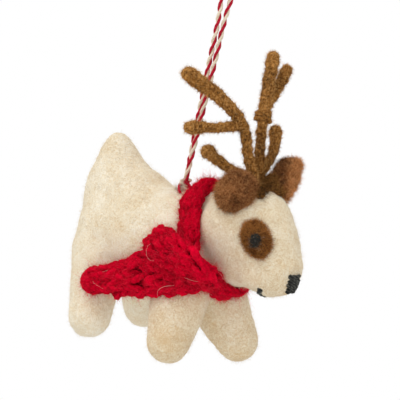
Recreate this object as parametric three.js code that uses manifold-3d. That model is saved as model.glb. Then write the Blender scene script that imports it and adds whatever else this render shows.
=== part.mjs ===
// A hanging Christmas ornament: a needle-felted white dog with wool-wrapped wire antlers
// and a knitted scarf, hung on a loop of baker's twine.
// Millimetres, +Z up. The origin is the top of the hanging loop, where a hook or twig carries it.
// The dog is built in its own frame, standing on z = 0 with its nose along +X and its left side along +Y,
// and is then hung below the loop by the stitch at the back of its neck.
import * as THREE from "three";
import { mergeVertices } from "three/addons/utils/BufferGeometryUtils.js";
import Module from "manifold-3d";

const wasm = await Module();
wasm.setup();

// Clearance between pieces that touch on the real object
const GAP = 0.3;

// Hanging loop
const HANG_PITCH = 6; // degrees that the nose is tipped up while the loop hangs straight
const LOOP_LENGTH = 90; // from the top of the loop to the middle of its knot
const TWINE_DIAMETER = 1.9;
const KNOT_RADIUS = 2.5;
const STRAND_SPREAD = 1.15; // from the middle of the loop to the middle of each of its two strands
const LOOP_TWIST = 90; // degrees that the strands turn about each other on their way down
const LOOP_EYE = 20; // height of the part that opens at the top
const LOOP_EYE_HALF_WIDTH = 4.2;
const LOOP_LAY = 219; // degrees from +X towards +Y, the way that the eye opens
const STITCH_SPAN = 5.2; // between the two places where the anchor stitch enters the felt
const STITCH_DEPTH = 6;
const STITCH_PROUD = 0.5; // how far its ends stand out of the felt

// Trunk: sections at the rump, loin, shoulder and neck
const RUMP_X = -34;
const LOIN_X = -14;
const SHOULDER_X = 6;
const NECK_X = 20;
const SPINE_HEIGHT = 41; // middle of the trunk above the soles
const SHOULDER_HEIGHT = 42;
const NECK_HEIGHT = 47.3;
const RUMP_HALF_WIDTH = 18;
const RUMP_HALF_HEIGHT = 20;
const RUMP_ROUNDING = 15; // how far the trunk bulges behind the rump section
const LOIN_HALF_WIDTH = 19;
const LOIN_HALF_HEIGHT = 21;
const SHOULDER_HALF_WIDTH = 17.5;
const SHOULDER_HALF_HEIGHT = 20.5;
const NECK_HALF_WIDTH = 12.5;
const NECK_HALF_HEIGHT = 18;

// Tail
const TAIL_BASE_HALF_WIDTH = 15.5;
const TAIL_BASE_HALF_LENGTH = 23;
const TAIL_MIDDLE_HALF_WIDTH = 12;
const TAIL_MIDDLE_HALF_LENGTH = 15.7;
const TAIL_TIP_RADIUS = 6.5;
const TAIL_TIP_X = -40.4;
const TAIL_MIDDLE_X = -37.2;
const TAIL_MIDDLE_HEIGHT = 60.5;
const TAIL_TIP_HEIGHT = 72;
const TAIL_BASE_X = -30.5;
const TAIL_BASE_HEIGHT = 49;

// Legs
const HIP_HEIGHT = 33;
const KNEE_HEIGHT = 19;
const HIP_Y = 8.5;
const FRONT_RIGHT_HIP_X = 10;
const FRONT_LEFT_HIP_X = 6.5;
const REAR_RIGHT_HIP_X = -32;
const REAR_LEFT_HIP_X = -28;
const FRONT_RIGHT_FOOT_X = 15.4;
const FRONT_RIGHT_FOOT_Y = -19;
const FRONT_LEFT_FOOT_X = 23;
const FRONT_LEFT_FOOT_Y = 13;
const REAR_RIGHT_FOOT_X = -26;
const REAR_RIGHT_FOOT_Y = -19.5;
const REAR_LEFT_FOOT_X = -32.5;
const REAR_LEFT_FOOT_Y = 19;
const FRONT_HIP_HALF_WIDTH = 10.5;
const FRONT_HIP_HALF_LENGTH = 12;
const REAR_HIP_HALF_WIDTH = 11.5;
const REAR_HIP_HALF_LENGTH = 15;
const KNEE_HALF_WIDTH = 9;
const KNEE_HALF_LENGTH = 10;
const FOOT_RADIUS = 7.9;

// Head: sections at the nape, crown, brow and muzzle
const NAPE_X = 22;
const CROWN_X = 31.5;
const BROW_X = 39.5;
const MUZZLE_X = 48;
const NAPE_HEIGHT = 54;
const CROWN_HEIGHT = 51.5;
const BROW_HEIGHT = 47;
const MUZZLE_HEIGHT = 40.2;
const NAPE_RADIUS = 15;
const CROWN_HALF_WIDTH = 14.5;
const CROWN_HALF_HEIGHT = 19.5;
const BROW_HALF_WIDTH = 11.2;
const BROW_HALF_HEIGHT = 16.5;
const MUZZLE_HALF_WIDTH = 8.8;
const MUZZLE_HALF_HEIGHT = 10.3;
const MUZZLE_ROUNDING = 6;

// Face and ears
const RIGHT_EAR_HALF_WIDTH = 7.1;
const EAR_HALF_THICKNESS = 3.6;
const LEFT_EAR_LENGTH = 15;
const LEFT_EAR_HALF_WIDTH = 5.7;
const EYE_HALF_WIDTH = 2.1;
const EYE_HALF_HEIGHT = 2.8;
const PATCH_HALF_WIDTH = 5.8;
const PATCH_HALF_HEIGHT = 7.6;
const PATCH_THICKNESS = 0.9;
const NOSE_HALF_WIDTH = 3.2;
const NOSE_HALF_HEIGHT = 3.7;
const NOSE_THICKNESS = 1.3;
const NOSE_LIFT = 24; // degrees that it faces above the line of the muzzle
const THREAD_DIAMETER = 1.4; // of the mouth stitch

// Antlers
const WIRE_DIAMETER = 1.2;
const WIRE_PEG = 9; // length of wire that is pushed into the head
const BEAM_RADIUS = 2.2;
const TINE_RADIUS = 1.9;
const CLUB_RADIUS = 2.6; // of the thickened ends
const BINDING_DIAMETER = 1.1;
const BINDING_TURNS = 3;
const BINDING_PITCH = 1.9;

// Scarf
const SCARF_WIDTH = 12;
const SCARF_TAIL_WIDTH = 12.4;
const SCARF_THICKNESS = 4.7; // one knitted stitch
const SCARF_TAIL_LIFT = 50; // degrees that the loose end can be lifted away from the flank
const SCARF_NECK_WIDTH = 10; // where it is drawn tight
const SCARF_CROSSING_WIDTH = 13.4; // where it is spread over itself
const SCARF_TILT = 24; // degrees that the ring round the neck leans back from upright
const SCARF_RING_X = 17;
const SCARF_RING_HALF_HEIGHT = 20.4;
const SCARF_RING_HALF_WIDTH = 16.3;

const WOOL_WHITE = 0xeee2ca;
const WOOL_BROWN = 0x784825;
const WOOL_ANTLER = 0x815227;
const WOOL_PATCH = 0x6b3d17;
const WOOL_BLACK = 0x2f2a21;
const YARN_BLACK = 0x3e3d37;
const YARN_RED = 0xad0920;
const TWINE_RED = 0xbe1e37;
const STEEL = 0x8c8c8c;

const X_AXIS = new THREE.Vector3(1, 0, 0);
const Y_AXIS = new THREE.Vector3(0, 1, 0);
const vec = (x, y, z) => new THREE.Vector3(x, y, z);
const radians = THREE.MathUtils.degToRad;

// A closed geometry becomes a solid that can be cut, and back
function solid(geometry) {
  const bare = new THREE.BufferGeometry();
  bare.setAttribute("position", geometry.getAttribute("position"));
  bare.setIndex(geometry.index);
  const merged = mergeVertices(bare, 1e-4);
  return new wasm.Manifold(
    new wasm.Mesh({
      numProp: 3,
      vertProperties: merged.attributes.position.array,
      triVerts: new Uint32Array(merged.index.array),
    }),
  );
}

function geometryOf(body) {
  const mesh = body.getMesh();
  const geometry = new THREE.BufferGeometry();
  geometry.setAttribute("position", new THREE.BufferAttribute(mesh.vertProperties, 3));
  geometry.setIndex(new THREE.BufferAttribute(mesh.triVerts, 1));
  return geometry;
}

const cut = (body, ...tools) => tools.reduce((left, tool) => left.subtract(tool), body);

// Felted form: elliptical sections strung on a smooth spine, with a dome on each end.
// A section is { at, across, deep }: across along the side axis, deep square to it and to the spine.
class Felt {
  constructor(sections, { side = Y_AXIS, sides = 16, rings = 8, domes = [1, 1], domeRings = 3 } = {}) {
    this.spine = new THREE.CatmullRomCurve3(sections.map((s) => s.at));
    this.radii = new THREE.CatmullRomCurve3(sections.map((s) => vec(s.across, s.deep, 0)));
    Object.assign(this, { side, sides, rings, domes, domeRings });
  }

  frame(t) {
    const along = this.spine.getTangent(t);
    const across = this.side.clone().addScaledVector(along, -this.side.dot(along)).normalize();
    const deep = along.clone().cross(across);
    return { middle: this.spine.getPoint(t), radius: this.radii.getPoint(t), along, across, deep };
  }

  // The point of the surface at a place along the spine and an angle from the side axis, lifted off
  skin(t, degrees, lift = 0) {
    const f = this.frame(t);
    const angle = radians(degrees);
    return f.middle
      .addScaledVector(f.across, (f.radius.x + lift) * Math.cos(angle))
      .addScaledVector(f.deep, (f.radius.y + lift) * Math.sin(angle));
  }

  // The direction that faces away from the surface there
  outward(t, degrees) {
    const step = 0.01;
    const around = this.skin(t, degrees + 1).sub(this.skin(t, degrees - 1));
    const along = this.skin(t + step, degrees).sub(this.skin(t - step, degrees));
    return around.cross(along).normalize();
  }

  // One ring of points, shrunk and shifted along the spine where it belongs to a dome
  ring(t, grow, shrink, shift) {
    const f = this.frame(t);
    return Array.from({ length: this.sides }, (_, i) => {
      const angle = (2 * Math.PI * i) / this.sides;
      return f.middle
        .clone()
        .addScaledVector(f.along, shift)
        .addScaledVector(f.across, (f.radius.x + grow) * shrink * Math.cos(angle))
        .addScaledVector(f.deep, (f.radius.y + grow) * shrink * Math.sin(angle));
    });
  }

  geometry(grow = 0) {
    const domeAt = (t, share) => Math.min(this.frame(t).radius.x, this.frame(t).radius.y) * share + grow;
    const domes = [domeAt(0, this.domes[0]), domeAt(1, this.domes[1])];
    const dome = Math.PI / 2 / (this.domeRings + 0.6);
    const angles = Array.from({ length: this.domeRings }, (_, k) => (k + 1) * dome);
    const rings = [
      ...angles.toReversed().map((a) => this.ring(0, grow, Math.cos(a), -domes[0] * Math.sin(a))),
      ...Array.from({ length: this.rings + 1 }, (_, k) => this.ring(k / this.rings, grow, 1, 0)),
      ...angles.map((a) => this.ring(1, grow, Math.cos(a), domes[1] * Math.sin(a))),
    ];
    const points = rings.flat();
    const n = this.sides;
    const faces = [];
    for (let r = 0; r + 1 < rings.length; r++) {
      for (let i = 0; i < n; i++) {
        const j = (i + 1) % n;
        faces.push(r * n + i, r * n + j, (r + 1) * n + j);
        faces.push(r * n + i, (r + 1) * n + j, (r + 1) * n + i);
      }
    }
    const start = this.frame(0);
    const end = this.frame(1);
    const last = (rings.length - 1) * n;
    points.push(start.middle.addScaledVector(start.along, -domes[0]));
    points.push(end.middle.addScaledVector(end.along, domes[1]));
    for (let i = 0; i < n; i++) {
      const j = (i + 1) % n;
      faces.push(points.length - 2, j, i);
      faces.push(points.length - 1, last + i, last + j);
    }
    const geometry = new THREE.BufferGeometry();
    const flat = points.flatMap((p) => p.toArray());
    geometry.setAttribute("position", new THREE.Float32BufferAttribute(flat, 3));
    geometry.setIndex(faces);
    return geometry;
  }

  solid(grow = 0) {
    return solid(this.geometry(grow));
  }
}

const section = (at, across, deep = across) => ({ at, across, deep });

// Round rod of one thickness along a smooth line through points
function rod(points, diameter, { sides = 8, steps = 12 } = {}) {
  const corners = Array.from({ length: sides }, (_, i) => {
    const angle = (2 * Math.PI * i) / sides;
    return new THREE.Vector2((diameter / 2) * Math.cos(angle), (diameter / 2) * Math.sin(angle));
  });
  const extrudePath = new THREE.CatmullRomCurve3(points);
  return new THREE.ExtrudeGeometry(new THREE.Shape(corners), { steps, extrudePath, bevelEnabled: false });
}

// Trunk
const trunk = new Felt(
  [
    section(vec(RUMP_X, 0, SPINE_HEIGHT), RUMP_HALF_WIDTH, RUMP_HALF_HEIGHT),
    section(vec(LOIN_X, 0, SPINE_HEIGHT), LOIN_HALF_WIDTH, LOIN_HALF_HEIGHT),
    section(vec(SHOULDER_X, 0, SHOULDER_HEIGHT), SHOULDER_HALF_WIDTH, SHOULDER_HALF_HEIGHT),
    section(vec(NECK_X, 0, NECK_HEIGHT), NECK_HALF_WIDTH, NECK_HALF_HEIGHT),
  ],
  { sides: 22, rings: 12, domes: [RUMP_ROUNDING / RUMP_HALF_WIDTH, 0.7], domeRings: 4 },
);
const trunkClear = trunk.solid(GAP);

// Tail, a broad cone that grows out of the rump
const tailBase = vec(TAIL_BASE_X, 0, TAIL_BASE_HEIGHT);
const tailMiddle = vec(TAIL_MIDDLE_X, 0, TAIL_MIDDLE_HEIGHT);
const tailTip = vec(TAIL_TIP_X, 0, TAIL_TIP_HEIGHT);
const tail = new Felt([
  section(tailBase, TAIL_BASE_HALF_WIDTH, TAIL_BASE_HALF_LENGTH),
  section(tailMiddle, TAIL_MIDDLE_HALF_WIDTH, TAIL_MIDDLE_HALF_LENGTH),
  section(tailTip, TAIL_TIP_RADIUS),
]);

// Legs: each runs from a hip inside the trunk to a round foot
const hipAt = (x, y) => vec(x, y, HIP_HEIGHT);
const footAt = (x, y) => vec(x, y, FOOT_RADIUS);
const LEGS = {
  front_right_leg: [hipAt(FRONT_RIGHT_HIP_X, -HIP_Y), footAt(FRONT_RIGHT_FOOT_X, FRONT_RIGHT_FOOT_Y)],
  front_left_leg: [hipAt(FRONT_LEFT_HIP_X, HIP_Y), footAt(FRONT_LEFT_FOOT_X, FRONT_LEFT_FOOT_Y)],
  rear_right_leg: [hipAt(REAR_RIGHT_HIP_X, -HIP_Y), footAt(REAR_RIGHT_FOOT_X, REAR_RIGHT_FOOT_Y)],
  rear_left_leg: [hipAt(REAR_LEFT_HIP_X, HIP_Y), footAt(REAR_LEFT_FOOT_X, REAR_LEFT_FOOT_Y)],
};
const legs = Object.entries(LEGS).map(([name, [hip, foot]]) => {
  const knee = hip.clone().lerp(foot, (HIP_HEIGHT - KNEE_HEIGHT) / (HIP_HEIGHT - FOOT_RADIUS));
  const hipSection = name.startsWith("front")
    ? section(hip, FRONT_HIP_HALF_WIDTH, FRONT_HIP_HALF_LENGTH)
    : section(hip, REAR_HIP_HALF_WIDTH, REAR_HIP_HALF_LENGTH);
  const kneeSection = section(knee, KNEE_HALF_WIDTH, KNEE_HALF_LENGTH);
  const form = new Felt([hipSection, kneeSection, section(foot, FOOT_RADIUS)]);
  return { name, form };
});
const legsClear = legs.map(({ form }) => form.solid(GAP));

// Head
const head = new Felt(
  [
    section(vec(NAPE_X, 0, NAPE_HEIGHT), NAPE_RADIUS),
    section(vec(CROWN_X, 0, CROWN_HEIGHT), CROWN_HALF_WIDTH, CROWN_HALF_HEIGHT),
    section(vec(BROW_X, 0, BROW_HEIGHT), BROW_HALF_WIDTH, BROW_HALF_HEIGHT),
    section(vec(MUZZLE_X, 0, MUZZLE_HEIGHT), MUZZLE_HALF_WIDTH, MUZZLE_HALF_HEIGHT),
  ],
  { sides: 22, rings: 12, domes: [0.6, MUZZLE_ROUNDING / MUZZLE_HALF_WIDTH], domeRings: 4 },
);
const headClear = head.solid(GAP);

// Ears: the right one is folded down over the side of the head, the left one stands up and out
const RIGHT_EAR_PLACE = 0.15; // along the head's spine
const RIGHT_EAR_ANGLES = [118, 132, 146]; // degrees round the head at its root, middle and end
const RIGHT_EAR_LIFTS = [1.5, 1, GAP]; // off the head there
const RIGHT_EAR_TAPERS = [0.75, 1, 0.75];
const LEFT_EAR_TAPERS = [1, 1.05, 0.72];
const LEFT_EAR_PLACE = 0.3;
const LEFT_EAR_ANGLE = 64;
const LEFT_EAR_LEAN = vec(-0.1, 0.58, 0.78); // the way that it points
const leftEarRoot = head.skin(LEFT_EAR_PLACE, LEFT_EAR_ANGLE);
const ears = {
  right_ear: new Felt(
    RIGHT_EAR_ANGLES.map((degrees, i) => {
      const at = head.skin(RIGHT_EAR_PLACE, degrees, EAR_HALF_THICKNESS + RIGHT_EAR_LIFTS[i]);
      return section(at, RIGHT_EAR_HALF_WIDTH * RIGHT_EAR_TAPERS[i], EAR_HALF_THICKNESS);
    }),
    { side: X_AXIS },
  ),
  left_ear: new Felt(
    LEFT_EAR_TAPERS.map((taper, i) => {
      const at = leftEarRoot.clone().addScaledVector(LEFT_EAR_LEAN, (LEFT_EAR_LENGTH * i) / 2);
      return section(at, LEFT_EAR_HALF_WIDTH * taper, EAR_HALF_THICKNESS * taper);
    }),
    { side: X_AXIS },
  ),
};

// Anchor stitch: the twine dips through the felt of the neck and comes out on the other side of the knot
const STITCH_PLACE = 0.515; // along the trunk's spine
const stitchSkin = trunk.skin(STITCH_PLACE, 90);
const stitchUp = trunk.outward(STITCH_PLACE, 90);
const stitchPoint = (y, depth) =>
  stitchSkin.clone().addScaledVector(Y_AXIS, y).addScaledVector(stitchUp, -depth);
const stitchPath = [
  stitchPoint(-STITCH_SPAN / 2, -STITCH_PROUD),
  stitchPoint(-STITCH_SPAN / 2, STITCH_DEPTH / 2),
  stitchPoint(0, STITCH_DEPTH),
  stitchPoint(STITCH_SPAN / 2, STITCH_DEPTH / 2),
  stitchPoint(STITCH_SPAN / 2, -STITCH_PROUD),
];
const stitchTunnel = solid(rod(stitchPath, TWINE_DIAMETER + 2 * GAP));

// Antlers: wool wound on a wire that is pushed into the crown. Points are offsets from that place.
const ANTLERS = {
  right: {
    crown: 109, // degrees round the head, 90 being the top
    place: 0.28, // along the head's spine
    beam: [
      vec(0, 0, 0),
      vec(-5.1, -0.6, 10.7),
      vec(-8.8, -2.6, 23.2),
      vec(-14.8, -8.6, 31.3),
      vec(-26.1, -16.6, 39),
    ],
    fork: 0.5, // along the beam
    forkTine: [vec(-14, -11.6, 21.2), vec(-19.3, -19.6, 20.2)],
    low: 0.07,
    lowTine: [vec(-11.9, -7.6, 8.2), vec(-15.6, -12.4, 12)],
  },
  left: {
    crown: 76,
    place: 0.15,
    beam: [vec(0, 0, 0), vec(-2, 0.2, 11.6), vec(-4.2, 1.6, 25), vec(-5.2, 4, 32), vec(-8.9, 11, 48.7)],
    fork: 0.66,
    forkTine: [vec(-6, 10.9, 37.6), vec(-7.8, 18.2, 44)],
    low: 0.1,
    lowTine: [vec(-3, 7.8, 14.3), vec(-4.6, 11.2, 20.9)],
  },
};

function antler({ crown, place, beam, fork, forkTine, low, lowTine }) {
  const root = head.skin(place, crown);
  const from = (offset) => root.clone().add(offset);
  const beamRadii = [BEAM_RADIUS, BEAM_RADIUS, BEAM_RADIUS, CLUB_RADIUS, CLUB_RADIUS];
  const spine = beam.map(from);
  const beamSections = spine.map((at, i) => section(at, beamRadii[i]));
  const main = new Felt(beamSections, { side: X_AXIS, sides: 10, rings: 14 });
  const tineRadii = [TINE_RADIUS, TINE_RADIUS, CLUB_RADIUS];
  const tine = (branch, offsets) => {
    const points = [main.spine.getPoint(branch), ...offsets.map(from)];
    const tineSections = points.map((at, i) => section(at, tineRadii[i]));
    return new Felt(tineSections, { side: X_AXIS, sides: 10, rings: 6 });
  };
  const tines = { fork: tine(fork, forkTine), low: tine(low, lowTine) };
  const peg = root.clone().addScaledVector(head.outward(place, crown), -WIRE_PEG);
  const wires = (diameter) =>
    [[peg, ...spine], tines.fork.spine.points, tines.low.spine.points]
      .map((points) => solid(rod(points, diameter, { sides: 6, steps: 3 * points.length })))
      .reduce((all, one) => all.add(one));
  return { main, tines, wire: wires(WIRE_DIAMETER), bore: wires(WIRE_DIAMETER + 2 * GAP) };
}
const antlers = Object.entries(ANTLERS).map(([name, shape]) => ({ name, ...antler(shape) }));

// Binding: yarn wound round the left beam below its fork
const BINDING_PLACE = 0.55; // along the beam, at the middle of the turns
const STEPS_PER_TURN = 24;
const bound = antlers[1].main;
const bindingLength = BINDING_TURNS * BINDING_PITCH;
const bindingPoints = Array.from({ length: BINDING_TURNS * STEPS_PER_TURN + 1 }, (_, i) => {
  const turn = i / STEPS_PER_TURN;
  const height = turn * BINDING_PITCH - bindingLength / 2;
  const place = bound.spine.getUtoTmapping(BINDING_PLACE + height / bound.spine.getLength());
  return bound.skin(place, 360 * turn, GAP + BINDING_DIAMETER / 2);
});
const bindingGaps = bindingPoints.flatMap((p, i) =>
  bindingPoints.slice(i + STEPS_PER_TURN / 2).map((q) => p.distanceTo(q) - BINDING_DIAMETER),
);
console.log(`antler binding: least gap to itself ${Math.min(...bindingGaps).toFixed(2)} mm`);

// Face: each piece is cut from a skin that lies on the head
const PLUG_DEPTH = 10; // deeper than the head curves away under the patch
function onHead(outline, t, degrees, thickness) {
  const place = head.skin(t, degrees);
  const facing = head.outward(t, degrees);
  const plug = new THREE.ExtrudeGeometry(outline, {
    depth: PLUG_DEPTH,
    bevelEnabled: false,
    curveSegments: 8,
  });
  plug.translate(0, 0, -PLUG_DEPTH / 2);
  const upright = vec(0, 0, 1).addScaledVector(facing, -facing.z).normalize();
  const sideways = upright.clone().cross(facing);
  plug.applyMatrix4(new THREE.Matrix4().makeBasis(sideways, upright, facing).setPosition(place));
  return solid(plug).intersect(head.solid(GAP + thickness)).subtract(headClear);
}
function oval(halfWidth, halfHeight) {
  return new THREE.Shape().absellipse(0, 0, halfWidth, halfHeight, 0, 2 * Math.PI);
}
const EYE_PLACE = 0.68; // along the head's spine
const EYE_ANGLE = 23; // degrees above the widest line of the head
const patchOutline = oval(PATCH_HALF_WIDTH, PATCH_HALF_HEIGHT);
const eyePatch = onHead(patchOutline, EYE_PLACE, 180 - EYE_ANGLE, PATCH_THICKNESS);
function eye(degrees, seat) {
  const ball = new THREE.SphereGeometry(EYE_HALF_WIDTH, 14, 10);
  ball.scale(1, 1, EYE_HALF_HEIGHT / EYE_HALF_WIDTH);
  ball.translate(...head.skin(EYE_PLACE, degrees, seat).toArray());
  return solid(ball).subtract(head.solid(seat));
}

// Nose: a square pad of black yarn on the tip of the muzzle
const muzzleEnd = head.frame(1);
const nosePad = new THREE.BoxGeometry(4 * MUZZLE_ROUNDING, 2 * NOSE_HALF_WIDTH, 2 * NOSE_HALF_HEIGHT);
nosePad.translate(2 * MUZZLE_ROUNDING, 0, 0);
nosePad.rotateY(radians(-NOSE_LIFT));
const muzzleFrame = new THREE.Matrix4().makeBasis(muzzleEnd.along, muzzleEnd.across, muzzleEnd.deep);
nosePad.applyMatrix4(muzzleFrame.setPosition(muzzleEnd.middle));
const nose = solid(nosePad).intersect(head.solid(GAP + NOSE_THICKNESS)).subtract(headClear);

// Mouth: one black stitch that curves under the muzzle from cheek to cheek, half sunk in the felt
const MOUTH_ANGLES = [231, 244, 257, 270, 283, 296, 309]; // degrees round the head, 270 being the chin
const MOUTH_PLACE = 1; // along the head's spine, at the chin
const MOUTH_DRAW = 0.05; // how far its corners are drawn back
const mouthPath = MOUTH_ANGLES.map((degrees) =>
  head.skin(MOUTH_PLACE - MOUTH_DRAW * Math.abs(Math.cos(radians(degrees))), degrees),
);
const mouth = rod(mouthPath, THREAD_DIAMETER, { sides: 6, steps: 18 });
const mouthGroove = solid(rod(mouthPath, THREAD_DIAMETER + 2 * GAP, { sides: 6, steps: 18 }));

// Scarf: a knitted strip from the right shoulder, once round the neck and across over itself
const ringMiddle = vec(SCARF_RING_X, 0, NECK_HEIGHT);
const ringUp = vec(-Math.sin(radians(SCARF_TILT)), 0, Math.cos(radians(SCARF_TILT)));
const ringAxis = vec(Math.cos(radians(SCARF_TILT)), 0, Math.sin(radians(SCARF_TILT)));
function ringPoint(degrees) {
  return ringMiddle
    .clone()
    .addScaledVector(ringUp, SCARF_RING_HALF_HEIGHT * Math.cos(radians(degrees)))
    .addScaledVector(Y_AXIS, -SCARF_RING_HALF_WIDTH * Math.sin(radians(degrees)));
}
const loose = (x, y, z, width = SCARF_WIDTH) => section(vec(x, y, z), width / 2, SCARF_THICKNESS / 2);
const tight = (degrees) => section(ringPoint(degrees), SCARF_NECK_WIDTH / 2, SCARF_THICKNESS / 2);
const wrap = new Felt(
  [
    loose(18, -23.2, 28.8),
    loose(18, -21.6, 35),
    loose(17, -18.6, 43),
    ...[75, 40, 0, -40, -80, -120, -160, -200, -222].map(tight),
    loose(29.2, -17.6, 34.9),
    loose(29.5, -26, 38.9),
    loose(23.2, -29, 43, SCARF_CROSSING_WIDTH),
    loose(15, -28.8, 45),
    loose(7, -24.4, 46),
  ],
  { side: ringAxis, sides: 12, rings: 51 },
);
const scarfTailRoot = vec(10, -23.8, 33.8);
const scarfTail = new Felt(
  [scarfTailRoot, vec(0, -23.6, 30.3), vec(-11, -24, 27), vec(-23.2, -26.2, 24.2)].map((at) =>
    section(at, SCARF_TAIL_WIDTH / 2, SCARF_THICKNESS / 2),
  ),
  { side: vec(0, 0, 1), sides: 12, rings: 12 },
);

// The room that the loose end needs while it is lifted about its root
const scarfTailRoom = [0, 0.5, 1].map((share) => {
  const swept = scarfTail.geometry(GAP);
  swept.translate(...scarfTailRoot.clone().negate().toArray());
  swept.rotateZ(radians(SCARF_TAIL_LIFT * share));
  swept.translate(...scarfTailRoot.toArray());
  return solid(swept);
});

// Hanging loop: the twine goes up, bends round the hook and comes down, its two strands turned about
// each other
const TWISTED_POINTS = 8;
const EYE_SHAPE = [[1, 0.36], [0.7, 0.53], [0.45, 0.79], [0.21, 1], [0.06, 0.71]]; // shares of its size
const strandPoint = (below, spread, turn) =>
  vec(spread * Math.cos(radians(turn)), spread * Math.sin(radians(turn)), -below);
const twisted = Array.from({ length: TWISTED_POINTS }, (_, i) => {
  const share = i / TWISTED_POINTS;
  const below = THREE.MathUtils.lerp(LOOP_LENGTH - KNOT_RADIUS - GAP, LOOP_EYE, share);
  return strandPoint(below, STRAND_SPREAD, LOOP_LAY - LOOP_TWIST * (1 - share));
});
const opened = EYE_SHAPE.map(([below, spread]) =>
  strandPoint(LOOP_EYE * below, LOOP_EYE_HALF_WIDTH * spread, LOOP_LAY),
);
const strand = [...twisted, ...opened];
const loopPath = [...strand, vec(0, 0, 0), ...strand.toReversed().map(({ x, y, z }) => vec(-x, -y, z))];

const part = new THREE.Group();
const dog = new THREE.Group();
part.add(dog);

function add(group, name, shape, color, roughness = 0.95, metalness = 0) {
  const geometry = shape.isBufferGeometry ? shape : geometryOf(shape);
  const mesh = new THREE.Mesh(geometry, new THREE.MeshStandardMaterial({ color, roughness, metalness }));
  mesh.name = name;
  group.add(mesh);
}

// Felted body
const wireBores = antlers.map(({ bore }) => bore);
add(dog, "torso", cut(trunk.solid(), stitchTunnel), WOOL_WHITE);
add(dog, "tail", cut(tail.solid(), trunkClear), WOOL_WHITE);
for (const { name, form } of legs) add(dog, name, cut(form.solid(), trunkClear), WOOL_WHITE);
add(dog, "head", cut(head.solid(), trunkClear, mouthGroove, ...wireBores), WOOL_WHITE);
const antlerForms = antlers.flatMap(({ main, tines }) => [main, ...Object.values(tines)]);
const antlerWool = antlerForms.map((form) => form.solid(GAP));
for (const [name, form] of Object.entries(ears)) {
  add(dog, name, cut(form.solid(), headClear, ...antlerWool), WOOL_BROWN);
}

// Face
add(dog, "eye_patch", eyePatch, WOOL_PATCH);
add(dog, "right_eye", eye(180 - EYE_ANGLE, 2 * GAP + PATCH_THICKNESS), WOOL_BLACK);
add(dog, "left_eye", eye(EYE_ANGLE, GAP), WOOL_BLACK);
add(dog, "nose", nose, YARN_BLACK);
add(dog, "mouth_stitch", mouth, YARN_BLACK);

// Antlers
for (const { name, main, tines, wire, bore } of antlers) {
  add(dog, `${name}_antler_wire`, wire, STEEL, 0.4, 1);
  add(dog, `${name}_antler_beam`, cut(main.solid(), headClear, bore), WOOL_ANTLER);
  for (const [place, form] of Object.entries(tines)) {
    const wool = cut(form.solid(), headClear, main.solid(GAP), bore);
    add(dog, `${name}_antler_${place}_tine`, wool, WOOL_ANTLER);
  }
}
const binding = rod(bindingPoints, BINDING_DIAMETER, { sides: 6, steps: BINDING_TURNS * STEPS_PER_TURN });
add(dog, "antler_binding", binding, WOOL_ANTLER);

// Scarf
const bodyClear = [trunkClear, headClear, ...legsClear];
add(dog, "scarf_wrap", cut(wrap.solid(), ...bodyClear, ...scarfTailRoom), YARN_RED);
add(dog, "scarf_tail", cut(scarfTail.solid(), ...bodyClear), YARN_RED);

// Twine
add(dog, "anchor_stitch", rod(stitchPath, TWINE_DIAMETER), TWINE_RED);
add(part, "hanging_loop", rod(loopPath, TWINE_DIAMETER, { steps: 64 }), TWINE_RED);
const knot = new THREE.SphereGeometry(KNOT_RADIUS, 14, 10);
knot.translate(0, 0, -LOOP_LENGTH);
add(part, "twine_knot", knot, TWINE_RED);

// The dog hangs below the knot by its stitch
const lean = new THREE.Euler(0, radians(-HANG_PITCH), 0);
const pivot = stitchSkin.clone().addScaledVector(stitchUp, KNOT_RADIUS + GAP);
dog.rotation.copy(lean);
dog.position.set(0, 0, -LOOP_LENGTH).sub(pivot.applyEuler(lean));

export default part;
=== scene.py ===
import math
from collections import namedtuple
from itertools import product

import bpy
import numpy as np
from mathutils import Matrix, Vector
from mathutils.bvhtree import BVHTree


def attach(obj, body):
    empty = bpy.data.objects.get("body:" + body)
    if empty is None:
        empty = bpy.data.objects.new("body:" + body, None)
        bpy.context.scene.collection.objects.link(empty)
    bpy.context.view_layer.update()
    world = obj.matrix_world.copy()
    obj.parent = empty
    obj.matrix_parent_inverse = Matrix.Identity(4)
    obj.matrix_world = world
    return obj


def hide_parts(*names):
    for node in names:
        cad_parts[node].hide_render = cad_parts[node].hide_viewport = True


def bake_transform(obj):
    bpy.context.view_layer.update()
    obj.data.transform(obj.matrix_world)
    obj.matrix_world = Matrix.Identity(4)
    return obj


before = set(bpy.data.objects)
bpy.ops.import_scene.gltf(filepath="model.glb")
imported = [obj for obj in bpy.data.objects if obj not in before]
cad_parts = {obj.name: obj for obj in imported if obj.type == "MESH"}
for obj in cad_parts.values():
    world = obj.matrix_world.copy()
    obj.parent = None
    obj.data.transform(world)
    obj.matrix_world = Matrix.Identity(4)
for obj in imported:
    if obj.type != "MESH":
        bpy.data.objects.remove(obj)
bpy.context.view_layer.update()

# Shapes are worked out in millimetres. The dog has a frame of its own:
# soles on z = 0, nose along +X, left side +Y.
MM = 0.001
TURN = 2 * math.pi
X_AXIS, Y_AXIS, Z_AXIS = np.eye(3)
PITCH = math.radians(6)
DOG_PLACE = np.array([10.15168, 0.0, -154.05412])
LOOP_LENGTH = 90.0
CLEARANCE = 0.3


def turned(ways):
    """Directions in the dog's frame, as they hang."""
    p = np.asarray(ways, float)
    c, s = math.cos(PITCH), math.sin(PITCH)
    return np.stack([c * p[..., 0] - s * p[..., 2], p[..., 1], s * p[..., 0] + c * p[..., 2]], axis=-1)


def hung(points):
    """Millimetres in the dog's frame to millimetres below the hanging loop."""
    return turned(points) + DOG_PLACE


def unit(v):
    v = np.asarray(v, float)
    return v / np.maximum(np.linalg.norm(v, axis=-1, keepdims=True), 1e-12)


def share(value, start, end):
    """How far a value is on its way from start to end, from 0 to 1."""
    return np.clip((value - start) / (end - start), 0, 1)


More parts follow.
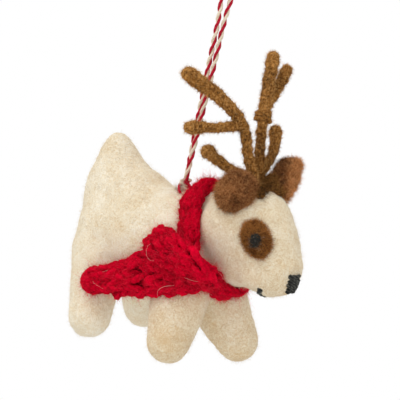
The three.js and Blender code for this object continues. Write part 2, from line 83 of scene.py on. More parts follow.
def bell(distance, width):
    """1 at no distance, falling to 0 beyond the width."""
    return np.exp(-((distance / width) ** 2))


def placed(name, data):
    """A new object in the scene."""
    obj = bpy.data.objects.new(name, data)
    bpy.context.collection.objects.link(obj)
    return obj


# Camera, so that the hung dog covers the photo's dog
CAMERA_AZIMUTH = math.radians(39)
CAMERA_ELEVATION = math.radians(11)
CAMERA_ROLL = math.radians(12.7)
CAMERA_DISTANCE = 0.62
SENSOR_WIDTH = 36
PIXELS_PER_MM = 2.577
KNOT_PIXEL = (184.8, 184.3)
IMAGE = 400


def make_camera():
    a, e, r = CAMERA_AZIMUTH, CAMERA_ELEVATION, CAMERA_ROLL
    back = Vector((math.sin(a) * math.cos(e), -math.cos(a) * math.cos(e), math.sin(e)))
    level = Vector((math.cos(a), math.sin(a), 0))
    upright = back.cross(level)
    right = math.cos(r) * level + math.sin(r) * upright
    up = -math.sin(r) * level + math.cos(r) * upright
    middle = Vector((0, 0, -LOOP_LENGTH * MM))
    middle += right * (IMAGE / 2 - KNOT_PIXEL[0]) / PIXELS_PER_MM * MM
    middle -= up * (IMAGE / 2 - KNOT_PIXEL[1]) / PIXELS_PER_MM * MM
    data = bpy.data.cameras.new("camera")
    data.sensor_width = SENSOR_WIDTH
    data.lens = PIXELS_PER_MM * CAMERA_DISTANCE / MM * SENSOR_WIDTH / IMAGE
    camera = placed("camera", data)
    place = Matrix((right, up, back)).transposed().to_4x4()
    place.translation = middle + back * CAMERA_DISTANCE
    camera.matrix_world = place
    bpy.context.scene.camera = camera


make_camera()


# Smooth lines
def catmull(points, t):
    """The smooth line through points, at shares t of its run."""
    p = np.asarray(points, float)
    n = len(p)
    t = np.clip(np.asarray(t, float), 0, 1) * (n - 1)
    i = np.minimum(t.astype(int), n - 2)
    w = (t - i)[:, None]
    padded = np.concatenate([2 * p[:1] - p[1:2], p, 2 * p[-1:] - p[-2:-1]])
    p0, p1, p2, p3 = padded[i], padded[i + 1], padded[i + 2], padded[i + 3]

    def root(a, b):
        return np.maximum(((b - a) ** 2).sum(1, keepdims=True) ** 0.25, 1e-4)

    d0, d1, d2 = root(p0, p1), root(p1, p2), root(p2, p3)
    t1 = ((p1 - p0) / d0 - (p2 - p0) / (d0 + d1) + (p2 - p1) / d1) * d1
    t2 = ((p2 - p1) / d1 - (p3 - p1) / (d1 + d2) + (p3 - p2) / d2) * d1
    return p1 + t1 * w + (3 * p2 - 3 * p1 - 2 * t1 - t2) * w**2 + (2 * p1 - 2 * p2 + t1 + t2) * w**3


def smooth(points, count):
    """The same line as a number of points."""
    return catmull(points, np.linspace(0, 1, count))


def run_of(line):
    """How far along a line each of its points lies."""
    return np.concatenate([[0], np.cumsum(np.linalg.norm(np.diff(line, axis=0), axis=1))])


def sampled(at, run, table):
    """Rows of a table, read off at places along its run."""
    return np.stack([np.interp(at, run, column) for column in table.T], axis=1)


def even(line, count):
    """The same line with evenly spaced points, and its length."""
    run = run_of(line)
    return sampled(np.linspace(0, run[-1], count), run, line), run[-1]


def swept(line, aside):
    """Directions along a line, across it and at right angles to both, without twist."""
    along = unit(np.gradient(line, axis=0))
    start = unit(np.cross(along[0], aside if abs(along[0] @ aside) < 0.9 else X_AXIS))
    across = np.empty_like(line)
    for i, way in enumerate(along):
        start = unit(start - way * (way @ start))
        across[i] = start
    return along, across, np.cross(along, across)


# Skins round lines
def circle(sides):
    return TURN * np.arange(sides) / sides


def spokes(turn, across, deep):
    """Directions round a line, for each of its points and turns."""
    return np.cos(turn)[None, :, None] * across[:, None] + np.sin(turn)[None, :, None] * deep[:, None]


def grid_faces(rows, columns, start=0, wrap=True):
    """Quads of a grid of points, closed round its columns if they wrap."""
    r = np.arange(rows - 1)[:, None] * columns + start
    c = np.arange(columns if wrap else columns - 1)[None, :]
    d = (c + 1) % columns
    return np.stack(np.broadcast_arrays(r + c, r + d, r + columns + d, r + columns + c), -1).reshape(-1, 4)


def closed(points, poles):
    """Vertices, quads and triangles of rings of points with a pole at each end."""
    rows, sides = points.shape[:2]
    j = np.arange(sides)
    k = (j + 1) % sides
    pole, last = np.full(sides, rows * sides), (rows - 1) * sides
    caps = np.concatenate([np.stack([pole, k, j], 1), np.stack([pole + 1, last + j, last + k], 1)])
    return np.concatenate([points.reshape(-1, 3), poles]), grid_faces(rows, sides), caps


class Loft:
    """Elliptical sections (x, y, z, across, deep) strung on a smooth spine, with a dome on each end."""

    def __init__(self, sections, side=Y_AXIS, domes=(1, 1)):
        table = np.asarray(sections, float)
        self.at, self.radii, self.side, self.domes = table[:, :3], table[:, 3:5], side, domes

    def frame(self, t):
        """Middle, both radii and three directions of the sections at shares t."""
        t, step = np.atleast_1d(t), 1e-3
        along = unit(catmull(self.at, np.minimum(t + step, 1)) - catmull(self.at, np.maximum(t - step, 0)))
        across = unit(self.side - along * (along @ self.side)[:, None])
        return catmull(self.at, t), catmull(self.radii, t), along, across, np.cross(along, across)

    def skin(self, t, degrees, lift=0.0):
        """A point of the skin, or off it by a lift."""
        middle, radius, _, across, deep = (x[0] for x in self.frame(t))
        a = math.radians(degrees)
        return middle + across * (radius[0] + lift) * math.cos(a) + deep * (radius[1] + lift) * math.sin(a)

    def outward(self, t, degrees):
        around = self.skin(t, degrees + 1) - self.skin(t, degrees - 1)
        along = self.skin(t + 0.01, degrees) - self.skin(t - 0.01, degrees)
        return unit(np.cross(around, along))

    def surface(self, sides=64, rings=80, grow=0.0, dome_rings=14):
        """Vertices, quads and triangles of the closed skin."""
        a = (np.arange(dome_rings) + 1) / (dome_rings + 0.5) * math.pi / 2
        t = np.concatenate([np.zeros(dome_rings), np.linspace(0, 1, rings + 1), np.ones(dome_rings)])
        middle, radius, along, across, deep = self.frame(t)
        shrink = np.concatenate([np.cos(a[::-1]), np.ones(rings + 1), np.cos(a)])
        first, last = (min(radius[k]) * self.domes[k] + grow for k in (0, -1))
        shift = np.concatenate([-first * np.sin(a[::-1]), np.zeros(rings + 1), last * np.sin(a)])
        turn = circle(sides)[None, :, None]
        wide, tall = ((radius + grow) * shrink[:, None]).T[:, :, None, None]
        points = (middle + along * shift[:, None])[:, None] + wide * np.cos(turn) * across[:, None]
        points = points + tall * np.sin(turn) * deep[:, None]
        return closed(points, [middle[0] - along[0] * first, middle[-1] + along[-1] * last])


POLE_BULGE = 0.4


def tube(line, radius, sides=8, turn0=0.0, lobes=0, lobe_depth=0.0, lobe_twist=0.0):
    """A closed tube of one radius or one for each point: vertices, quads, triangles and swell.
    Lobes are plies that wind round it."""
    radius = np.broadcast_to(radius, len(line))
    along, across, deep = swept(line, Z_AXIS)
    turn = circle(sides)
    swell = 1 + lobe_depth * np.cos(lobes * (turn[None] + turn0) - lobe_twist * run_of(line)[:, None])
    points = line[:, None] + (radius[:, None] * swell)[:, :, None] * spokes(turn, across, deep)
    poles = [line[0] - along[0] * radius[0] * POLE_BULGE, line[-1] + along[-1] * radius[-1] * POLE_BULGE]
    return *closed(points, poles), swell


def painted_ply_shading(base, contrast, swell, ends):
    """Tones of a tube, with painted highlight where its plies swell and painted shade between them, and one for
    its two poles.
    """
    return np.concatenate([(base + contrast * (swell - 1)).ravel(), [ends, ends]])


def ball(middle, axes, rings=30, sides=48):
    """An ellipsoid with three half axes given as vectors: vertices, quads and triangles."""
    a = math.pi * (np.arange(1, rings) / rings)[:, None]
    b = circle(sides)
    points = np.stack(np.broadcast_arrays(np.sin(a) * np.cos(b), np.sin(a) * np.sin(b), np.cos(a)), -1)
    verts, quads, caps = closed(points, [Z_AXIS, -Z_AXIS])
    return verts @ np.array(axes) + middle, quads[:, ::-1], caps[:, [0, 2, 1]]


class Lumps:
    """Smooth seeded unevenness of about one wavelength, near 0 on average and 1 in spread."""

    def __init__(self, wavelength, seed, waves=28):
        r = np.random.default_rng(seed)
        self.k = unit(r.normal(size=(waves, 3))) * (TURN / wavelength * r.uniform(0.6, 1.5, (waves, 1)))
        self.phase = r.uniform(0, TURN, waves)
        self.scale = math.sqrt(2 / waves)

    def __call__(self, p):
        return self.scale * np.cos(np.asarray(p) @ self.k.T + self.phase).sum(-1)


# Gathering of mesh parts into one piece
class Piece:
    def __init__(self):
        self.verts, self.quads, self.tris, self.tones = [], [], [], []
        self.count = 0

    def add(self, verts, quads, tris=(), tone=0.5, material=0):
        self.verts.append(verts)
        self.quads.append((np.asarray(quads, int).reshape(-1, 4) + self.count, material))
        self.tris.append((np.asarray(tris, int).reshape(-1, 3) + self.count, material))
        self.tones.append(np.broadcast_to(np.asarray(tone, float), (len(verts),)))
        self.count += len(verts)

    def object(self, name, materials):
        """The piece as an object, its millimetres turned into metres."""
        groups = [g for g in self.quads + self.tris if len(g[0])]
        faces = [f for g, _ in groups for f in g.tolist()]
        mesh = bpy.data.meshes.new(name)
        mesh.from_pydata((np.concatenate(self.verts) * MM).tolist(), [], faces)
        slots = np.concatenate([np.full(len(g), m) for g, m in groups])
        mesh.polygons.foreach_set("material_index", slots)
        mesh.polygons.foreach_set("use_smooth", np.ones(len(faces), bool))
        mesh.attributes.new("tone", "FLOAT", "POINT").data.foreach_set("value", np.concatenate(self.tones))
        mesh.update()
        for material in materials:
            mesh.materials.append(material)
        return placed(name, mesh)


def shown(piece, name, materials, body, slot, *nodes):
    """The piece as an object that rides a body and replaces nodes."""
    obj = piece.object(name, materials)
    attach(obj, body)
    if nodes:
        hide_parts(*nodes)
    return obj


# Hairs. length and thickness are ranges, lie is how far they lean over, curl how far they bend.
Hair = namedtuple("Hair", "length thickness lie curl steps", defaults=[3])
ROOT_DEPTH = 0.15
TAPER = 0.65


def fibres(piece, points, normals, rng, hair, material=0, tone=(0.0, 1.0)):
    """Thin tapering hairs that grow from points, with a range of tones or a tone for each."""
    n = len(points)
    side = unit(np.cross(normals, rng.normal(size=(n, 3))))
    heading = unit(normals * (1 - hair.lie * rng.uniform(0.5, 1.2, (n, 1))) + side * hair.lie)
    bend = unit(np.cross(heading, rng.normal(size=(n, 3)))) * hair.curl * rng.uniform(0.2, 1.0, (n, 1))
    long = rng.uniform(*hair.length, (n, 1))
    s = np.linspace(0, 1, hair.steps + 1)[:, None, None]
    line = points - normals * ROOT_DEPTH + heading * long * s + bend * long * s**2
    across = unit(np.cross(heading, bend + 1e-6))
    deep = np.cross(heading, across)
    thick = rng.uniform(*hair.thickness, (n, 1)) / 2 * (1 - TAPER * s)
    verts = np.stack([line + thick * (math.cos(a) * across + math.sin(a) * deep) for a in circle(3)], axis=2)
    per = 3 * (hair.steps + 1)
    base = np.arange(n)[:, None, None] * per
    quads = grid_faces(hair.steps + 1, 3)[None] + base
    tris = np.array([[2, 1, 0], [per - 3, per - 2, per - 1]])[None] + base
    shade = rng.uniform(*tone, n) if isinstance(tone, tuple) else tone
    piece.add(verts.transpose(1, 0, 2, 3).reshape(-1, 3), quads, tris, np.repeat(shade, per), material)


def dog_hairs(piece, points, normals, *rest):
    """Hairs given in the dog's frame."""
    fibres(piece, hung(points), turned(normals), *rest)


def scatter(verts, faces, count, rng):
    """Random places on a skin of quads: points and normals."""
    tri = np.concatenate([faces[:, [0, 1, 2]], faces[:, [0, 2, 3]]])
    a, b, c = (verts[tri[:, k]] for k in range(3))
    normal = np.cross(b - a, c - a)
    area = np.linalg.norm(normal, axis=1)
    pick = rng.choice(len(tri), count, p=area / area.sum())
    u, v = rng.random((2, count, 1))
    flip = u + v > 1
    u, v = np.where(flip, 1 - u, u), np.where(flip, 1 - v, v)
    return a[pick] + u * (b - a)[pick] + v * (c - a)[pick], unit(normal)[pick]


# Materials
ROUGHNESS, ROUGHNESS_SPREAD = 0.92, 0.12
SHEEN_ROUGHNESS = 0.5
WIRE_MARKS = 3000


def srgb(r, g, b):
    return tuple(((c / 255 + 0.055) / 1.055) ** 2.4 if c > 10 else c / 255 / 12.92 for c in (r, g, b)) + (1.0,)


class Tree:
    """The nodes of a material or world. An input is a value or another node's output."""

    def __init__(self, owner):
        owner.use_nodes = True
        self.nodes, self.links = owner.node_tree.nodes, owner.node_tree.links

    def feed(self, node, inputs):
        for name, value in inputs.items():
            if isinstance(value, bpy.types.NodeSocket):
                self.links.new(value, node.inputs[name])
            else:
                node.inputs[name].default_value = value
        return node.outputs

    def add(self, kind, inputs=None, **settings):
        node = self.nodes.new(f"ShaderNode{kind}")
        for name, value in settings.items():
            setattr(node, name, value)
        return self.feed(node, inputs or {})

    def ramp(self, value, dark, light, middle=None):
        node = self.nodes.new("ShaderNodeValToRGB")
        stops = node.color_ramp.elements
        stops[0].color, stops[1].color = dark, light
        if middle:
            stops.new(0.5).color = middle
        return self.feed(node, {"Fac": value})["Color"]


def wool(
    name, dark, middle, light, fleck, bump, grain=900, mottle=70, relief=0.0005, sheen=0.25, specular=0.15
):
    """Felt or yarn: the mesh's tone sets dark to light, with fibre grain, mottling and bump on top."""
    material = bpy.data.materials.new(name)
    tree = Tree(material)
    place = tree.add("TexCoord")["Object"]

    def noise(scale, detail, distortion):
        looks = {"Vector": place, "Scale": scale, "Detail": detail, "Distortion": distortion}
        return tree.add("TexNoise", looks)["Fac"]

    def calc(kind, a, b):
        return tree.add("Math", {0: a, 1: b}, operation=kind)[0]

    def spread(value, strength):
        return calc("MULTIPLY", calc("SUBTRACT", value, 0.5), strength)

    tone = tree.add("Attribute", attribute_name="tone")["Fac"]
    fine, broad, strands = noise(grain, 3, 1.5), noise(mottle, 2, 0.4), noise(grain * 0.35, 4, 4.0)
    grainy, streaky, patchy = spread(fine, fleck * 1.6), spread(strands, fleck * 1.8), spread(broad, fleck)
    value = calc("ADD", calc("ADD", tone, grainy), calc("ADD", streaky, patchy))
    height = {"Strength": bump, "Distance": relief, "Height": calc("ADD", fine, strands)}
    looks = {
        "Base Color": tree.ramp(value, srgb(*dark), srgb(*light), srgb(*middle)),
        "Roughness": calc("ADD", calc("MULTIPLY", fine, ROUGHNESS_SPREAD), ROUGHNESS - ROUGHNESS_SPREAD / 2),
        "Normal": tree.add("Bump", height)["Normal"],
        "Specular IOR Level": specular,
        "Sheen Weight": sheen,
        "Sheen Roughness": SHEEN_ROUGHNESS,
        "Sheen Tint": srgb(*light),
    }
    tree.feed(tree.nodes["Principled BSDF"], looks)
    return material


def steel(name):
    """Drawn wire with fine marks."""
    material = bpy.data.materials.new(name)
    tree = Tree(material)
    marks = tree.add("TexNoise", {"Vector": tree.add("TexCoord")["Object"], "Scale": WIRE_MARKS})["Fac"]
    looks = {
        "Base Color": tree.ramp(marks, srgb(120, 120, 122), srgb(168, 168, 170)),
        "Roughness": tree.add("MapRange", {"Value": marks, "To Min": 0.28, "To Max": 0.45})["Result"],
        "Normal": tree.add("Bump", {"Strength": 0.1, "Distance": 0.0001, "Height": marks})["Normal"],
        "Metallic": 1.0,
    }
    tree.feed(tree.nodes["Principled BSDF"], looks)
    return material


FELT = {"fleck": 0.8, "bump": 0.6}
STRAND = {"fleck": 0.3, "bump": 0.1}
FAINT = {"fleck": 0.2, "bump": 0.1}
TWINE = {"fleck": 0.5, "bump": 0.6, "grain": 2200}
DULL = {"sheen": 0.05, "specular": 0.04}
COARSE = {"fleck": 0.8, "bump": 0.7}
# The white wool's dark end is warm beige: it gives both the wool's own flecks and, through the felt's tone,
# painted warm shade on its lower parts.
WHITE = wool(
    "white_wool", (215, 188, 148), (236, 222, 195), (248, 241, 225), **COARSE, grain=1100, mottle=45, relief=0.0008
)
WHITE_FIBRE = wool("white_wool_fibre", (218, 194, 160), (240, 227, 204), (252, 247, 236), **FAINT)
BROWN = wool("brown_wool", (44, 21, 7), (124, 74, 38), (180, 120, 72), **FELT)
BROWN_FIBRE = wool("brown_wool_fibre", (52, 26, 9), (146, 90, 46), (226, 166, 110), **STRAND)
PATCH = wool("patch_wool", (38, 17, 5), (150, 90, 38), (226, 158, 88), **FELT, grain=1500)
BLACK = wool("black_wool", (15, 15, 15), (40, 40, 38), (110, 106, 98), 0.5, 0.5)
YARN_BLACK = wool("black_yarn", (18, 19, 20), (50, 51, 49), (124, 124, 116), 0.4, 0.5)
ANTLER = wool("antler_wool", (50, 28, 8), (138, 90, 38), (200, 146, 80), **COARSE, grain=1500)
ANTLER_FIBRE = wool("antler_wool_fibre", (72, 42, 14), (164, 112, 52), (232, 184, 116), **STRAND)
RED = wool(
    "red_yarn", (108, 0, 14), (212, 0, 40), (248, 6, 54), 0.5, 0.8, grain=1300, mottle=120, relief=0.0008, **DULL
)
RED_FIBRE = wool("red_yarn_fibre", (160, 0, 26), (216, 2, 40), (250, 70, 92), **STRAND, **DULL)
PALE_HAIR = wool("pale_hair", (222, 130, 128), (236, 176, 168), (248, 218, 206), **FAINT)
TWINE_RED = wool("twine_red", (120, 10, 28), (186, 24, 48), (212, 60, 80), **TWINE)
TWINE_WHITE = wool("twine_white", (206, 184, 156), (236, 222, 200), (248, 240, 226), **TWINE)
WIRE = steel("steel_wire")
for wire in ("right_antler_wire", "left_antler_wire"):
    wire_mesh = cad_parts[wire].data
    wire_mesh.materials.clear()
    wire_mesh.materials.append(WIRE)


# Twine: a red and a white ply laid round each other
TWINE_DIAMETER = 1.9
PLY_PITCH = 8.6
PLY_OFFSET, PLY_RADIUS = 0.25, 0.3
RED_PLY, WHITE_PLY = (0, 0), (math.pi, 1)
TWINE_STEP = 0.28
TWINE_LOBES = {"sides": 10, "lobes": 3, "lobe_depth": 0.08, "lobe_twist": 2.6}
FUZZ_PER_MM = 2.2
TWINE_FUZZ = Hair((0.3, 0.9), (0.03, 0.05), 0.8, 0.6, 2)


def laid_twine(
    piece, line, rng, diameter=TWINE_DIAMETER, pitch=PLY_PITCH, phase=0.0, plies=(RED_PLY, WHITE_PLY)
):
    """Twine along a line. A ply is the angle that it starts at and its material."""
    line, length = even(line, len(line))
    n = max(int(length / TWINE_STEP), 12)
    line, length = even(line, n)
    _, across, deep = swept(line, Y_AXIS)
    turn = phase + TURN * np.linspace(0, length, n) / pitch
    for ply, material in plies:
        a = (turn + ply)[:, None]
        path = line + diameter * PLY_OFFSET * (np.cos(a) * across + np.sin(a) * deep)
        verts, quads, caps, swell = tube(path, diameter * PLY_RADIUS, **TWINE_LOBES)
        piece.add(verts, quads, caps, painted_ply_shading(0.5, 2.2, swell, 0.5), material)
        pick = rng.integers(0, n, int(length * FUZZ_PER_MM))
        out = unit(rng.normal(size=(len(pick), 3)))
        roots = path[pick] + out * diameter * PLY_OFFSET
        fibres(piece, roots, out, rng, TWINE_FUZZ, material, (0.5, 1.0))


STRAND_SPREAD = 1.15
KNOT_RADIUS = 2.5
LOOP_EYE = 20.0
LOOP_EYE_HALF_WIDTH = 4.2
LOOP_EYE_FORM = ((1, 0.36), (0.7, 0.53), (0.45, 0.79), (0.21, 1), (0.06, 0.71))
LOOP_LAY = 219.0
LOOP_TWIST = 90.0
TWISTED_POINTS = 8


def strand_point(below, spread, degrees):
    a = math.radians(degrees)
    return (spread * math.cos(a), spread * math.sin(a), -below)


def loop_line():
    """One strand up from the knot, the eye and the other strand down."""
    low = LOOP_LENGTH - KNOT_RADIUS - CLEARANCE
    side = [strand_point(LOOP_LENGTH - 1, 0.7, LOOP_LAY - LOOP_TWIST)]
    for up in np.arange(TWISTED_POINTS) / TWISTED_POINTS:
        side.append(strand_point(low + (LOOP_EYE - low) * up, STRAND_SPREAD, LOOP_LAY - LOOP_TWIST * (1 - up)))
    for below, spread in LOOP_EYE_FORM:
        side.append(strand_point(LOOP_EYE * below, LOOP_EYE_HALF_WIDTH * spread, LOOP_LAY))
    side = np.array(side)
    return np.concatenate([side, [[0, 0, 0]], side[::-1] * (-1, -1, 1)])


def make_loop():
    line, length = even(smooth(loop_line(), 900), 400)
    piece = Piece()
    laid_twine(piece, line, np.random.default_rng(11), phase=0.6)
    obj = shown(piece, "twine_loop", [TWINE_RED, TWINE_WHITE], "hanging_loop", "twine", "hanging_loop")


KNOT_MIDDLE = np.array([0, 0, -LOOP_LENGTH])
KNOT_TURNS, KNOT_TURN_RADIUS = 2.6, 1.5
KNOT_END = [(0.2, -1.6, 0.4), (-0.6, -2.8, -0.2), (0.2, -3.9, -1.2), (1.6, -5.2, -1.9), (3.4, -6.2, -2.3)]
# Frayed tips: place off the knot's middle, material and number of hairs
FRAYED = (
    (KNOT_END[-1], 0, 26),
    ((1.4, -2.4, -1.8), 1, 90),
    ((-1.4, -2.6, -1.9), 1, 80),
    ((0.6, -2.6, 0.6), 1, 50),
)
FRAYED_HAIR = Hair((1.2, 3.0), (0.05, 0.09), 0.3, 0.8, 4)


def make_knot():
    """Turns of the twine drawn tight round its two strands, with a short red end and frayed white ones."""
    rng = np.random.default_rng(12)
    t = np.linspace(0, TURN * KNOT_TURNS, 150)
    height = 1.8 - 0.23 * t + 0.25 * np.sin(t)
    turns = np.stack([KNOT_TURN_RADIUS * np.cos(t), KNOT_TURN_RADIUS * np.sin(t), height], axis=1)
    piece = Piece()
    laid_twine(piece, KNOT_MIDDLE + turns, rng, diameter=1.8, pitch=6.0)
    end = smooth(KNOT_MIDDLE + np.array(KNOT_END), 60)
    laid_twine(piece, end, rng, diameter=1.7, pitch=40.0, plies=(RED_PLY,))
    for tip, material, count in FRAYED:
        points = KNOT_MIDDLE + tip + rng.normal(size=(count, 3)) * 0.45
        heading = unit(rng.normal(size=(count, 3)) * (1, 1, 0.5) + (0, -0.8, 0.3))
        fibres(piece, points, heading, rng, FRAYED_HAIR, material, (0.5, 1.0))
    shown(piece, "tied_knot", [TWINE_RED, TWINE_WHITE], "twine_knot", "twine", "twine_knot")


make_loop()
make_knot()


# Felted body
TRUNK = Loft(
    [(-34, 0, 41, 18, 20), (-14, 0, 41, 19, 21), (6, 0, 42, 17.5, 20.5), (20, 0, 47.3, 12.5, 18)],
    domes=(15 / 18, 0.7),
)
TAIL = Loft(
    [
        (-30.5, 0, 49, 15.5, 23),
        (-37.2, 0, 60.5, 12, 15.7),
        (-39.6, 0, 68.6, 8.1, 9.2),
        (-40.8, 0, 74, 5.9, 6.1),
        (-41.3, 0, 77, 3.6, 3.6),
    ],
    domes=(1, 0.55),
)
HEAD = Loft(
    [(22, 0, 54, 15, 15), (31.5, 0, 51.5, 14.5, 19.5), (39.5, 0, 47, 11.2, 16.5), (48, 0, 40.2, 8.8, 10.3)],
    domes=(0.6, 6 / 8.8),
)
NECK = Loft([(15, 0, 47.2, 13, 18.4), (24, 0, 49.5, 13.6, 18.6), (30, 0, 51, 14, 19)], domes=(0.3, 0.3))
JAW = Loft([(37, 0, 39, 10, 6.9), (46, 0.3, 38.3, 9.4, 6.6), (50.6, 0.9, 38.5, 7.7, 5.8)], domes=(0.5, 0.55))
HIP_HEIGHT, KNEE_HEIGHT = 33.0, 19
KNEE_HALF_WIDTH, FOOT_RADIUS = 9, 7.9
BODY_GROWTH, HEAD_GROWTH = 0.6, 0.35
BODY_HAIRS = (
    (16500, Hair((0.7, 2.0), (0.05, 0.09), 0.82, 0.9, 1)),
    (4500, Hair((0.8, 2.2), (0.035, 0.055), 0.4, 0.9, 2)),
)
HEAD_HAIRS = (
    (8000, Hair((0.6, 1.8), (0.05, 0.09), 0.82, 0.8, 2), (0.0, 1.0)),
    (2400, Hair((0.7, 1.9), (0.035, 0.055), 0.4, 1.0, 2), (0.3, 1.0)),
)


def leg(hip_x, hip_y, foot_x, foot_y, wide, long, knee_long=10.0, shift=0.0):
    """A leg with its half width and length at the hip, and its knee moved forward by a shift."""
    hip, foot = np.array([hip_x, hip_y, HIP_HEIGHT]), np.array([foot_x, foot_y, FOOT_RADIUS])
    knee = hip + (foot - hip) * (HIP_HEIGHT - KNEE_HEIGHT) / (HIP_HEIGHT - FOOT_RADIUS) + X_AXIS * shift
    return Loft([(*hip, wide, long), (*knee, KNEE_HALF_WIDTH, knee_long), (*foot, FOOT_RADIUS, FOOT_RADIUS)])


LEGS = [
    leg(10, -8.5, 15.4, -19, 10.5, 12, 10.8, 0.3),
    leg(6.5, 8.5, 23, 13, 10.5, 12, 11.6, -1.2),
    leg(-33, -8.5, -26, -19.5, 11.5, 14, 9.4, -0.8),
    leg(-28, 8.5, -32.5, 19, 11.5, 15),
]


def remeshed(forms, voxel):
    """One closed skin round several overlapping forms: vertices and quads, in millimetres."""
    piece = Piece()
    for form in forms:
        piece.add(*form)
    obj = piece.object("forms", [])
    modifier = obj.modifiers.new("skin", "REMESH")
    modifier.mode = "VOXEL"
    modifier.voxel_size = voxel * MM
    mesh = bpy.data.meshes.new_from_object(obj.evaluated_get(bpy.context.evaluated_depsgraph_get()))
    verts, corners = np.empty(len(mesh.vertices) * 3), np.empty(len(mesh.loops), int)
    mesh.vertices.foreach_get("co", verts)
    mesh.loops.foreach_get("vertex_index", corners)
    old = obj.data
    bpy.data.objects.remove(obj)
    for data in (mesh, old):
        bpy.data.meshes.remove(data)
    return verts.reshape(-1, 3) / MM, corners.reshape(-1, 4)


def smoothed(verts, quads, rounds):
    """Each vertex drawn to the middle of its neighbours, over and over."""
    edges = np.concatenate([quads[:, [k, (k + 1) % 4]] for k in range(4)])
    own, other = np.concatenate([edges, edges[:, ::-1]]).T
    n = len(verts)
    count = np.bincount(own, minlength=n)[:, None]
    for _ in range(rounds):
        total = np.stack([np.bincount(own, weights=verts[other, k], minlength=n) for k in range(3)], axis=1)
        verts = verts + 0.5 * (total / count - verts)
    return verts


def normals_of(verts, quads):
    n = np.cross(verts[quads[:, 2]] - verts[quads[:, 0]], verts[quads[:, 3]] - verts[quads[:, 1]])
    out = np.zeros_like(verts)
    for k in range(4):
        for axis in range(3):
            out[:, axis] += np.bincount(quads[:, k], weights=n[:, axis], minlength=len(verts))
    return unit(out)


def felted(forms, voxel, rounds, seed, coarse, fine, shape=None):
    """Forms joined into one uneven hand-felted skin: vertices and quads."""
    verts, quads = remeshed(forms, voxel)
    verts = smoothed(verts, quads, rounds)
    if shape:
        verts = shape(verts)
    lift = coarse * Lumps(13, seed)(verts) + 0.6 * coarse * Lumps(6, seed + 1)(verts)
    lift = lift + fine * Lumps(2.2, seed + 2)(verts)
    return verts + normals_of(verts, quads) * lift[:, None], quads


def make_body():
    rng = np.random.default_rng(21)
    forms = [form.surface(grow=BODY_GROWTH) for form in [TRUNK, TAIL, *LEGS]]
    verts, quads = felted(forms, voxel=0.7, rounds=40, seed=5, coarse=0.08, fine=0.06)
    x, _, z = verts.T
    # Painted light and shade in the felt's tone: darker towards the feet and lighter towards the back, painted
    # shade on the front legs and on the top of the tail, painted light on the lower rear.
    painted_top_light, tail_top_painted_shade = share(z, 6, 52), share(z, 58, 72)
    front, rear = share(x, 0, 10) * share(z, 32, 20), share(x, 0, -14) * (1 - painted_top_light)
    tone = 0.4 + 0.18 * painted_top_light - 0.16 * front + 0.2 * rear - 0.16 * tail_top_painted_shade + 0.06 * Lumps(9, 31)(verts)
    skin, hairs = Piece(), Piece()
    skin.add(hung(verts), quads, tone=tone)
    for count, hair in BODY_HAIRS:
        dog_hairs(hairs, *scatter(verts, quads, count, rng), rng, hair)
    shown(hairs, "felt_body_hairs", [WHITE_FIBRE], "dog", "white_wool")
    legs = ["front_right_leg", "front_left_leg", "rear_right_leg", "rear_left_leg"]
    shown(skin, "felt_body", [WHITE], "dog", "white_wool", "torso", "tail", *legs)


def make_head():
    rng = np.random.default_rng(22)
    forms = [HEAD.surface(grow=HEAD_GROWTH), NECK.surface(), JAW.surface()]
    verts, quads = felted(forms, voxel=0.6, rounds=26, seed=8, coarse=0.1, fine=0.05)
    piece = Piece()
    # Painted shade: the head's felt is darker towards its lower part and lighter towards the top.
    piece.add(hung(verts), quads, tone=0.36 + 0.18 * share(verts[:, 2], 32, 72) + 0.06 * Lumps(8, 33)(verts))
    for count, hair, tone in HEAD_HAIRS:
        dog_hairs(piece, *scatter(verts, quads, count, rng), rng, hair, 1, tone)
    shown(piece, "felt_head", [WHITE, WHITE_FIBRE], "dog", "white_wool", "head")
    return BVHTree.FromPolygons(verts.tolist(), quads.tolist())


make_body()
HEAD_TREE = make_head()


def on_head(point, facing, lift=0.0):
    """The place on the felt of the head that lies under a point, or off it by a lift."""
    hit, normal, _, _ = HEAD_TREE.ray_cast(Vector(point) + Vector(facing) * 12, -Vector(facing))
    if hit is None:
        hit, normal, _, _ = HEAD_TREE.find_nearest(Vector(point))
    return np.array(hit) + np.array(normal) * lift


# Ears
EAR_HALF_WIDTH, EAR_HALF_THICKNESS = 7.1, 3.6
EAR_PLACE = 0.15
RIGHT_EAR = Loft(
    [
        (*HEAD.skin(EAR_PLACE, degrees, EAR_HALF_THICKNESS + lift), EAR_HALF_WIDTH * taper, EAR_HALF_THICKNESS)
        for degrees, lift, taper in ((119, 0.8, 0.72), (130, 0.8, 1.0), (141, CLEARANCE, 0.7))
    ],
    side=X_AXIS,
)
RIGHT_EAR_GROWTH, LEFT_EAR_GROWTH = -0.8, 0.3
LEFT_EAR_LEAN = np.array([-0.1, 0.58, 0.78])
LEFT_EAR = Loft(
    [
        (*(HEAD.skin(0.3, 64) + LEFT_EAR_LEAN * run + X_AXIS * shift), across, thick)
        for run, shift, across, thick in ((0, 1.2, 4.5, 3.6), (7.5, 0.6, 5.1, 3.8), (14, -0.2, 4.9, 2.8))
    ],
    side=X_AXIS,
)
